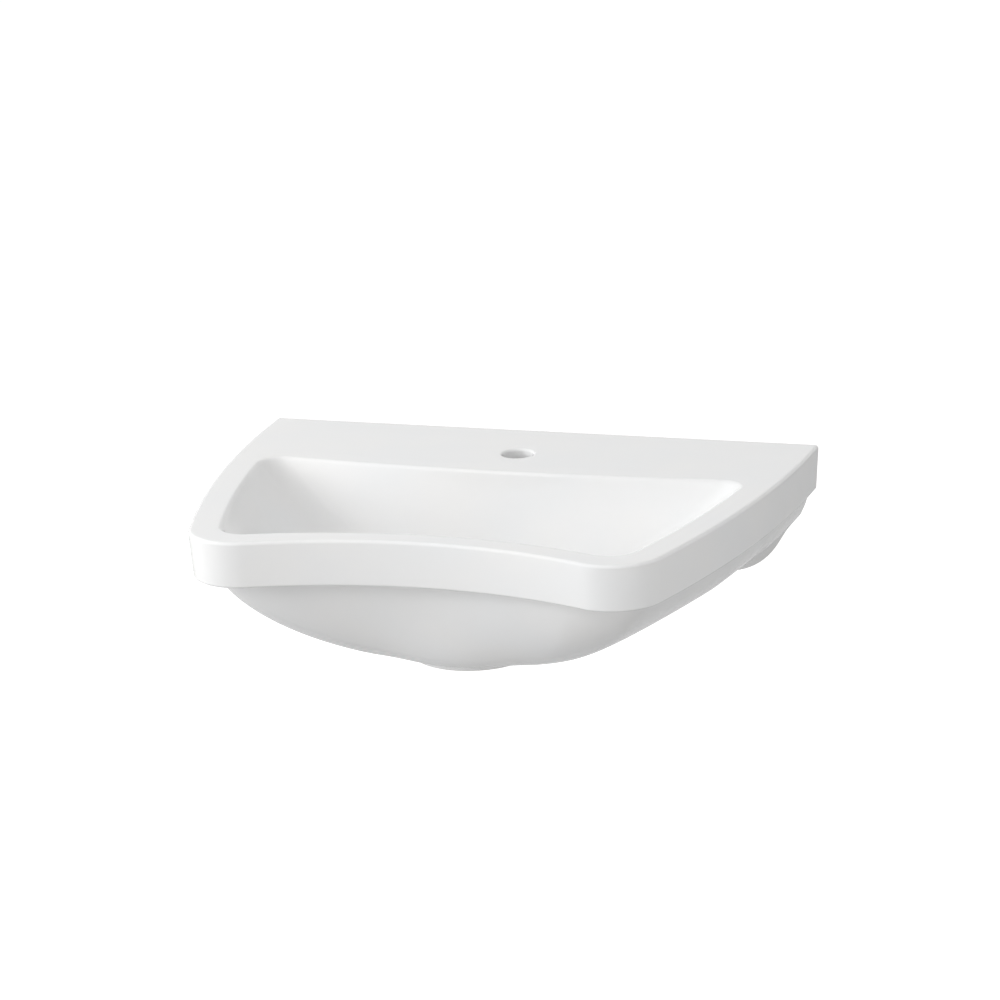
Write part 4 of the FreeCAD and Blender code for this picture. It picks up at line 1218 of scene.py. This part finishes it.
def hexagon_reach(angle, across):
    """Distance from the axis to a hexagon's side: half its width over the cosine of the direction,
    counted from the middle of that side. Corners lie on the x axis."""
    return across / 2 / np.cos(angle % (math.pi / 3) - math.pi / 6)


print(f"corner of a 17 mm nut: {hexagon_reach(0.0, 17):.2f} mm from its axis")

def hex_nut(name, across, height, bore, origin, axes=ALONG_Z, collar=None, count=96):
    """Hexagon nut from its origin upwards. A collar (radius, height) stands on its upper face."""
    angle = np.linspace(0, 2 * np.pi, count, endpoint=False)[None]
    face = FACE_SHARE * across / 2
    cone = (across / math.sqrt(3) - face) / CONE_SLOPE
    low = np.linspace(0, 1.05, 8) * cone
    level = np.concatenate([low, height - low[::-1] if collar is None else [height]])[:, None]
    from_face = level if collar is not None else np.minimum(level, height - level)
    outside = np.minimum(hexagon_reach(angle, across), face + CONE_SLOPE * from_face)
    top, ease = height, 0.06 * bore
    if collar is not None:
        top = height + collar[1]
        rim = rounded([(collar[0], height, 0), (collar[0], top, 0.4 * MM), (bore + ease, top, 0)], 3)[:-1]
        outside = np.concatenate([outside, rim[:, :1] + 0 * angle])
        level = np.concatenate([level, rim[:, 1:]])
    hole = np.array([[bore + ease, top], [bore, top - ease], [bore, ease], [bore + ease, 0]])
    radius = np.concatenate([outside, hole[:, :1] + 0 * angle])
    return swept(name, radius, np.concatenate([level, hole[:, 1:]]), origin, axes)


# %% [markdown]
# ## Wall fixings
# Each side has a nylon plug in the wall, a stud with a wood screw at one end and a machine thread at the
# other, a bush, a washer and a nut. The plug has teeth that only let it go in, and a slit so that it
# spreads round the screw. The plug and the screw end stand behind y = 0, in the wall's own holes.

# %% Sizes of the fixings
STUD_R = 5 * MM
STUD_BEHIND = 62 * MM      # behind the wall's face
STUD_FREE = 10 * MM        # past the nut
STUD_FIT = 0.1 * MM
BUSH_R = FIX_HOLE_R - 0.3 * MM
BUSH_SHORT = 1 * MM
BUSH_FLANGE_R = 14 * MM
BUSH_FLANGE_T = 3 * MM
WASHER_R = 12.5 * MM
WASHER_T = 2 * MM
NUT_AF = 17 * MM
NUT_T = 8 * MM
BUSH_END = -WALL_PLATE - BUSH_FLANGE_T
WASHER_END = BUSH_END - WASHER_T
NUT_END = WASHER_END - NUT_T
print(f"the nut ends {-NUT_END:.3f} m in front of the wall")

# %% [markdown]
# The wall plug is a turned tube with long flutes and then teeth like a saw's. A thin box cuts its slit.

# %% Wall plug
PLUG_R = 7 * MM
PLUG_GAP = 0.5 * MM        # from the wall's face to the plug's mouth
PLUG_TIP = 6 * MM
PLUG_SLIT = 1.6 * MM
FLUTES = 6
FLUTE_DEPTH = 0.4 * MM
FLUTE_START = 3 * MM
TOOTH = 4 * MM
TOOTH_DEPTH = 0.9 * MM


def box_cutter(low, high):
    """Box between two corners, as a closed skin."""
    x = np.array([low[0], high[0], high[0], low[0]])
    y = np.array([low[1], low[1], high[1], high[1]])
    level = np.array([[low[2]], [high[2]]])
    return ring_surface("box_cutter", capped(np.stack([x + 0 * level, y + 0 * level, level + 0 * x], axis=-1)))


def plug_ripple(angle, along, radius):
    """Long flutes near the plug's mouth, then teeth like a saw's that point back out of the wall."""
    flute = FLUTE_DEPTH * np.clip(1.6 * np.cos(FLUTES * angle), 0, 1) * np.clip((along - FLUTE_START) / MM, 0, 1)
    tooth = TOOTH_DEPTH * ((along / TOOTH) % 1)
    return np.where(radius > PLUG_R - 1e-6, np.where(along < STUD_BEHIND / 3, flute, tooth), 0)


def wall_plug(name, at):
    """Nylon plug with a tapered tip, slit level over the far two thirds of its length."""
    bore = STUD_R + STUD_FIT
    end = PLUG_GAP + STUD_BEHIND
    profile = rounded([(bore, PLUG_GAP, 0.3 * MM), (PLUG_R, PLUG_GAP, 0.4 * MM), (PLUG_R, end - PLUG_TIP, 0),
                       (bore + 0.5 * MM, end, 0.2 * MM), (bore, end, 0)], 3)
    plug = lathe(name, finer(profile, TOOTH / 10), at, ALONG_Y, 72, plug_ripple)
    boolean(plug, box_cutter((at[0] - 2 * PLUG_R, PLUG_GAP + STUD_BEHIND / 3, -PLUG_SLIT / 2),
                             (at[0] + 2 * PLUG_R, 2 * STUD_BEHIND, PLUG_SLIT / 2)))
    return plug


# %% [markdown]
# The hanger stud has two threads, so its ripple is the sum of a fine one in front of the wall and a
# coarse one behind it, whose depth shrinks with the radius towards the point.

# %% Hanger stud
STUD_POINT = 9 * MM
STUD_PITCH = 1.5 * MM
STUD_DEPTH = 0.9 * MM
SCREW_PITCH = 4 * MM
SCREW_START = 6 * MM
SCREW_SHARE = 0.28         # depth of the coarse thread as a share of the radius


def stud_ripple(angle, along, radius):
    """Machine thread in front of the wall, wood screw behind it, plain shank between."""
    machine = thread(STUD_R, NUT_END - STUD_FREE + MM, -2 * MM, STUD_PITCH, STUD_DEPTH)(angle, along, radius)
    fade = np.clip((along - SCREW_START) / SCREW_PITCH, 0, 1)
    screw = SCREW_SHARE * radius * fade * groove(along / SCREW_PITCH - angle / (2 * np.pi))
    return machine + screw


def hanger_stud(name, at):
    """Stud from its free end in the hollow to its point in the wall."""
    start, screw_end = NUT_END - STUD_FREE, STUD_BEHIND - STUD_POINT
    profile = np.array([(0, start), (STUD_R - MM, start), (STUD_R, start + MM), (STUD_R, screw_end)])
    point = np.linspace(0, 1, 24)[1:, None]
    point = profile[-1] + (np.array([STUD_R / 5, STUD_BEHIND]) - profile[-1]) * point
    profile = np.concatenate([finer(profile, STUD_PITCH / 9), point, [[0, STUD_BEHIND]]])
    return lathe(name, profile, at, ALONG_Y, 48, stud_ripple, tube=False)


# %% [markdown]
# The bush keeps the steel off the china. Like the washer it is a plain turned ring, and all the pieces of
# a side share one axis, so one loop makes both sides.

# %% Bushes, washers and both sets
def stud_bush(name, at):
    """Nylon bush, flanged on the hollow's side."""
    bore = STUD_R + STUD_FIT
    profile = rounded([(bore, BUSH_END, 0.3 * MM), (BUSH_FLANGE_R, BUSH_END, 0.8 * MM),
                       (BUSH_FLANGE_R, -WALL_PLATE, 0.3 * MM), (BUSH_R, -WALL_PLATE, 0.2 * MM),
                       (BUSH_R, -BUSH_SHORT, 0.6 * MM), (bore, -BUSH_SHORT, 0.2 * MM)], 4, closed=True)
    return lathe(name, profile, at, ALONG_Y)


def ring(name, inside, outside, low, high, soft, origin=OUTLET_AXIS, axes=ALONG_Z):
    """Flat ring with rounded edges: washers and seals."""
    profile = rounded([(inside, low, soft), (outside, low, soft), (outside, high, soft), (inside, high, soft)],
                      5, closed=True)
    return lathe(name, profile, origin, axes)


for side_name, side in (("left", -1), ("right", 1)):
    at = np.array([side * FIX_X, 0, 0])
    dress(wall_plug(side_name + "_plug_toothed", at), "basin", side_name + "_wall_plug", "plug_nylon")
    dress(hanger_stud(side_name + "_stud_threaded", at), "basin", side_name + "_hanger_stud", "zinc_steel")
    dress(stud_bush(side_name + "_bush_moulded", at), "basin", side_name + "_bush", "bush_nylon")
    dress(ring(side_name + "_washer_pressed", STUD_R + STUD_FIT, WASHER_R, WASHER_END, BUSH_END, 0.35 * MM, at,
               ALONG_Y), "basin", side_name + "_washer", "zinc_steel")
    dress(hex_nut(side_name + "_nut_forged", NUT_AF, NUT_T, STUD_R + STUD_FIT, at + [0, NUT_END, 0], ALONG_Y),
          "basin", side_name + "_fixing_nut", "zinc_steel")


# %% [markdown]
# ## The waste
# The waste is a chromed brass tube with a dished flange that lies in the bowl's recess. Below the china a
# rubber cone, a slippery washer and a large nut clamp it. Its thread is the pipe thread that a trap's nut
# takes, eleven turns to the inch. Three spokes in its throat carry the push cartridge.

# %% Waste tube
THREAD_R = 20.955 * MM
PIPE_PITCH = 25.4 * MM / 11
PIPE_DEPTH = 1.2 * MM
NECK_R = THREAD_R - 0.6 * MM
THROAT_R = 18 * MM
FLANGE_R = 31.5 * MM
FLANGE_Z = FLOOR_Z - 3 * MM
DISH_Z = FLOOR_Z - 5 * MM
TAIL_Z = -106 * MM         # lower end of the thread
SEAL_Z = UNDER_Z - 8 * MM
SLIP_Z = SEAL_Z - 2 * MM
BACKNUT_T = 9 * MM
BACKNUT_Z = SLIP_Z - BACKNUT_T


def waste_tube():
    """Flange with a rolled lip, dished towards the throat, and the threaded tail."""
    profile = rounded([
        (THROAT_R, TAIL_Z, 0.4 * MM), (THREAD_R - 1.5 * MM, TAIL_Z, 0.3 * MM), (THREAD_R, TAIL_Z + 1.5 * MM, 0),
        (THREAD_R, BACKNUT_Z - MM, 0), (NECK_R, BACKNUT_Z - MM, 0), (NECK_R, BACKNUT_Z, 0),
        (THREAD_R, BACKNUT_Z, 0), (THREAD_R, UNDER_Z, 0), (NECK_R, UNDER_Z, 0), (NECK_R, FLANGE_Z, 0.3 * MM),
        (FLANGE_R, FLANGE_Z, 0.5 * MM), (FLANGE_R, FLOOR_Z, 0.9 * MM), (FLANGE_R - 2 * MM, FLOOR_Z, 0.9 * MM),
        (FLANGE_R - 2.8 * MM, FLOOR_Z - 1.2 * MM, 1.5 * MM), (THROAT_R, DISH_Z, 2.5 * MM),
        (THROAT_R, DISH_Z - 5 * MM, 0)], 6)
    cut = thread(THREAD_R, TAIL_Z + 1.5 * MM, UNDER_Z, PIPE_PITCH, PIPE_DEPTH)
    return lathe("waste_turned", finer(profile, PIPE_PITCH / 9), count=144, ripple=cut)


# %% [markdown]
# A small boss in the throat holds the cartridge on three spokes. The spokes run a little way into the
# tube's wall, as a casting's would.

# %% Cross bar
BAR_TOP = FLOOR_Z - 33.5 * MM
BAR_T = 4 * MM
BAR_ROUND = 0.7 * MM
BOSS_R = 6.5 * MM
SPOKE_START = 5.2 * MM     # inside the boss
STEM_R = 4 * MM            # thread of the cartridge's spigot and of its stem


def spoke(turn_angle):
    """Bar of rounded square section from the boss into the throat's wall."""
    half = BAR_T / 2
    section = rounded([(-half, -half, BAR_ROUND), (half, -half, BAR_ROUND), (half, half, BAR_ROUND),
                       (-half, half, BAR_ROUND)], 4, closed=True)
    run = np.array([[SPOKE_START], [THROAT_R + MM]])
    across, height = section[:, 0] + 0 * run, section[:, 1] + 0 * run + BAR_TOP - half
    x = run * math.cos(turn_angle) - across * math.sin(turn_angle)
    y = run * math.sin(turn_angle) + across * math.cos(turn_angle) + OUTLET_Y
    return ring_surface("spoke", capped(np.stack([x, y, height], axis=-1)))


def cross_bar():
    """Boss with its hole, and three spokes."""
    bar = ring("waste_spokes", STEM_R + STUD_FIT, BOSS_R, BAR_TOP - BAR_T, BAR_TOP, 0.5 * MM)
    for i in range(3):
        boolean(bar, spoke(math.pi / 2 + i * 2 * math.pi / 3), "UNION")
    return bar


# %% [markdown]
# The waste goes through the china with a flat seal above. Below it a rubber cone, a slippery washer and
# the back nut sit on the same axis, each on the one before.

# %% Waste, seals and back nut
SEAL_BORE = THREAD_R + 0.3 * MM
CONE_LOW_R, CONE_HIGH_R = 27 * MM, 31 * MM
SLIP_R = 30 * MM
BACKNUT_AF = 52 * MM
COLLAR_T = 2.5 * MM


def cone_ring():
    """Tapered ring, wider where it meets the china."""
    profile = rounded([(SEAL_BORE, SEAL_Z, 0.5 * MM), (CONE_LOW_R, SEAL_Z, MM), (CONE_HIGH_R, UNDER_Z, MM),
                       (SEAL_BORE, UNDER_Z, 0.5 * MM)], 5, closed=True)
    return lathe("cone_ring", profile)


dress(waste_tube(), "basin", "waste_body", "chrome")
dress(cross_bar(), "basin", "waste_body", "chrome")
dress(ring("flange_ring", SEAL_BORE, FLANGE_R - 0.5 * MM, SEAT_Z, FLANGE_Z, 0.6 * MM), "basin", "flange_seal",
      "seal_rubber")
dress(cone_ring(), "basin", "tapered_seal", "seal_rubber")
dress(ring("slip_ring", SEAL_BORE, SLIP_R, SLIP_Z, SEAL_Z, 0.5 * MM), "basin", "slip_washer", "bush_nylon")
dress(hex_nut("back_nut_turned", BACKNUT_AF, BACKNUT_T - COLLAR_T, THREAD_R + STUD_FIT,
              OUTLET_AXIS + [0, 0, BACKNUT_Z], collar=(SLIP_R, COLLAR_T), count=144),
      "basin", "back_nut", "nut_brass")


# %% [markdown]
# ## The plug and its cartridge
# The domed cap rises 9 mm to open. Its top is a power curve, flat in the middle and fuller towards the
# edge than a plain sphere. Underneath it has a groove for its rubber ring and a boss for the stem.

# %% Cap and ring
TRAVEL = 9 * MM
CAP_Z = FLOOR_Z + 0.8 * MM + TRAVEL
CAP_R = 30.5 * MM
CAP_EDGE = 2.8 * MM
CAP_CROWN = 3 * MM
CAP_ROUND = 1.6 * MM
RING_R = 26.5 * MM
RING_T = 1.7 * MM
CAP_GROOVE = 1.2 * MM
CAP_DISC_R = 24.7 * MM     # plain disc inside the ring
CAP_DISC_Z = -2 * MM
CAP_BOSS_R = 7 * MM
CAP_BOSS_Z = -6.4 * MM
CAP_BORE = STEM_R + 0.06 * MM


def domed_cap():
    """Cap from the middle of its dome round its edge and underside to its threaded hole."""
    reach = CAP_R - CAP_ROUND
    radius = np.linspace(0, reach, 30)[:-1]
    dome = np.stack([radius, CAP_EDGE + CAP_CROWN * (1 - (radius / reach) ** 2.4)], axis=-1)
    groove_r = RING_R + RING_T + STUD_FIT
    under = rounded([(reach, CAP_EDGE, 0), (CAP_R, CAP_EDGE - 0.4 * MM, CAP_ROUND * 0.7), (CAP_R, 0, 0.4 * MM),
                     (groove_r, 0, 0.2 * MM), (groove_r, CAP_GROOVE, 0), (CAP_DISC_R, CAP_GROOVE, 0),
                     (CAP_DISC_R, CAP_DISC_Z, 0.4 * MM), (CAP_BOSS_R, CAP_DISC_Z, 0.8 * MM),
                     (CAP_BOSS_R, CAP_BOSS_Z, 0.5 * MM), (CAP_BORE, CAP_BOSS_Z, 0.2 * MM),
                     (CAP_BORE, STUD_FIT, 0), (0, STUD_FIT, 0)], 5)
    return lathe("domed_cap", np.concatenate([dome, under]) + [0, CAP_Z], count=128, tube=False)


def cap_ring():
    """Rubber ring of round section."""
    turn_angle = np.linspace(0, 2 * np.pi, 24, endpoint=False)
    profile = np.stack([RING_R + RING_T * np.cos(turn_angle), RING_T * np.sin(turn_angle)], axis=-1)
    return lathe("cap_ring", profile + [0, CAP_Z - 0.6 * MM], count=128)


# %% [markdown]
# The cartridge under the cap latches at each push, like a pen. A stem slides in it, and under the stem's
# head a ratchet ring with sloped teeth steps round.

# %% Stem and ratchet
CASE_Z = FLOOR_Z - 7 * MM
STEM_LOW = CASE_Z - 1.3 * MM
HEAD_R = 6 * MM
PIN_R = 2.1 * MM
PIN_PAST = 1.4 * MM        # how far the guide pin reaches past the ratchet
FINE_PITCH = 1.25 * MM
FINE_DEPTH = 0.6 * MM
RATCHET_Z = STEM_LOW - 8 * MM
RATCHET_T = 3.5 * MM
RATCHET_R = 5.9 * MM
RATCHET_BORE = 2.2 * MM
RATCHET_EASE = 0.2 * MM
TEETH = 8
TEETH_FALL = 1.5 * MM


def push_stem():
    """Sliding stem with a thread for the cap above and a guide pin below."""
    low = RATCHET_Z - RATCHET_T - PIN_PAST
    profile = rounded([(0, low, 0), (PIN_R, low, 0.5 * MM), (PIN_R, RATCHET_Z, 0), (HEAD_R, RATCHET_Z, 0.3 * MM),
                       (HEAD_R, STEM_LOW, 0.5 * MM), (STEM_R, STEM_LOW, 0.3 * MM), (STEM_R, CAP_Z, 0.6 * MM),
                       (0, CAP_Z, 0)], 4)
    cut = thread(STEM_R, CAP_Z - 9 * MM, CAP_Z - 0.6 * MM, FINE_PITCH, FINE_DEPTH)
    return lathe("push_stem", finer(profile, 0.15 * MM), count=48, ripple=cut, tube=False)


def push_ratchet():
    """Ring whose upper face falls in sloped teeth: height less depth times the share of each tooth."""
    angle = np.linspace(0, 2 * np.pi, 192, endpoint=False)[None]
    eased = RATCHET_R - RATCHET_EASE
    radius = np.array([[RATCHET_BORE], [eased], [RATCHET_R], [RATCHET_R], [eased], [RATCHET_BORE]]) + 0 * angle
    low = RATCHET_Z - RATCHET_T
    fall = TEETH_FALL * ((TEETH * angle / (2 * np.pi)) % 1)
    rise = np.array([[0], [0], [RATCHET_EASE], [RATCHET_T - RATCHET_EASE], [RATCHET_T], [RATCHET_T]])
    return swept("push_ratchet", radius, low + rise - np.where(rise > RATCHET_T / 2, fall, 0))


# %% [markdown]
# A spring below the ratchet pushes the stem up again. A curve with a round bevel could draw it, but a
# grid along the helix gives a closed wire with an end face at each end.

# %% Spring
CASE_FLOOR = FLOOR_Z - 32 * MM
SPRING_TURNS = 4
SPRING_R = 4.4 * MM
WIRE_R = 0.3 * MM


def push_spring():
    """Round wire along a helix, its section set square to the helix's own direction."""
    share = np.linspace(0, 1, 48 * SPRING_TURNS + 1)[:, None]
    angle = 2 * np.pi * SPRING_TURNS * share
    low, high = CASE_FLOOR + 2 * WIRE_R, RATCHET_Z - RATCHET_T - 2 * WIRE_R
    out = np.concatenate([np.cos(angle), np.sin(angle), 0 * angle], axis=1)
    path = OUTLET_AXIS + SPRING_R * out + np.array([0, 0, 1]) * (low + (high - low) * share)
    ahead = np.gradient(path, axis=0)
    ahead /= np.linalg.norm(ahead, axis=1, keepdims=True)
    side = np.cross(ahead, out)
    around = np.linspace(0, 2 * np.pi, 14, endpoint=False)[None, :, None]
    rings = path[:, None] + WIRE_R * (np.cos(around) * out[:, None] + np.sin(around) * side[:, None])
    return ring_surface("push_spring", capped(rings))


# %% [markdown]
# The case around them has a lip that keeps the stem in, flutes for the fingers, and a threaded spigot
# that goes through the boss and takes a nut.

# %% Case
CASE_R = 8.2 * MM
CASE_BORE = HEAD_R + 0.06 * MM
CASE_MOUTH = STEM_R + 0.3 * MM
CASE_LIP = 1.2 * MM
CASE_FLUTES = 20
SPIGOT = 5 * MM            # how far it reaches past the boss


def push_case():
    """Case with a lip over the stem, fluted outside, and a threaded spigot through the boss."""
    spigot = BAR_TOP - BAR_T - SPIGOT
    lip = CASE_Z - CASE_LIP
    profile = rounded([(0, CASE_FLOOR, 0), (CASE_BORE, CASE_FLOOR, 0.4 * MM), (CASE_BORE, lip, 0),
                       (CASE_MOUTH, lip, 0.1 * MM), (CASE_MOUTH, CASE_Z, 0.4 * MM), (CASE_R, CASE_Z, 0.8 * MM),
                       (CASE_R, BAR_TOP, 0.5 * MM), (STEM_R, BAR_TOP, 0), (STEM_R, spigot, 0.6 * MM),
                       (0, spigot, 0)], 5)

    def ripple(angle, along, radius):
        """Flutes between the case's ends, and the spigot's thread below the boss."""
        ends = np.clip(np.minimum(along - BAR_TOP - 3 * MM, CASE_Z - 4 * MM - along) / MM, 0, 1)
        flute = 0.35 * MM * ends * np.clip(1.5 * np.cos(CASE_FLUTES * angle), 0, 1)
        screw = thread(STEM_R, spigot + 0.6 * MM, BAR_TOP - 0.2 * MM, FINE_PITCH, FINE_DEPTH)
        return np.where(radius > CASE_R - 0.2 * MM, flute, np.where(along < BAR_TOP, screw(angle, along, radius), 0))
    return lathe("push_case", finer(profile, 0.15 * MM), count=160, ripple=ripple, tube=False)


# %% [markdown]
# Cap, ring, stem and ratchet ride on the plug's body. The case, its nut and the spring stay with the
# basin.

# %% Plug and cartridge
PUSH_NUT_AF = 13 * MM
PUSH_NUT_T = 4 * MM

dress(domed_cap(), "plug", "plug_cap", "chrome")
dress(cap_ring(), "plug", "plug_seal", "ring_rubber")
dress(push_stem(), "plug", "cartridge_plunger", "nut_brass")
dress(push_ratchet(), "plug", "cartridge_rotor", "cartridge_plastic")
dress(push_case(), "basin", "cartridge_case", "cartridge_plastic")
dress(hex_nut("push_nut", PUSH_NUT_AF, PUSH_NUT_T, STEM_R + STUD_FIT,
              OUTLET_AXIS + [0, 0, BAR_TOP - BAR_T - PUSH_NUT_T]), "basin", "cartridge_nut", "nut_brass")
spring = push_spring()
dress(spring, "basin", "cartridge_spring", "spring_steel")
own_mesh(spring)
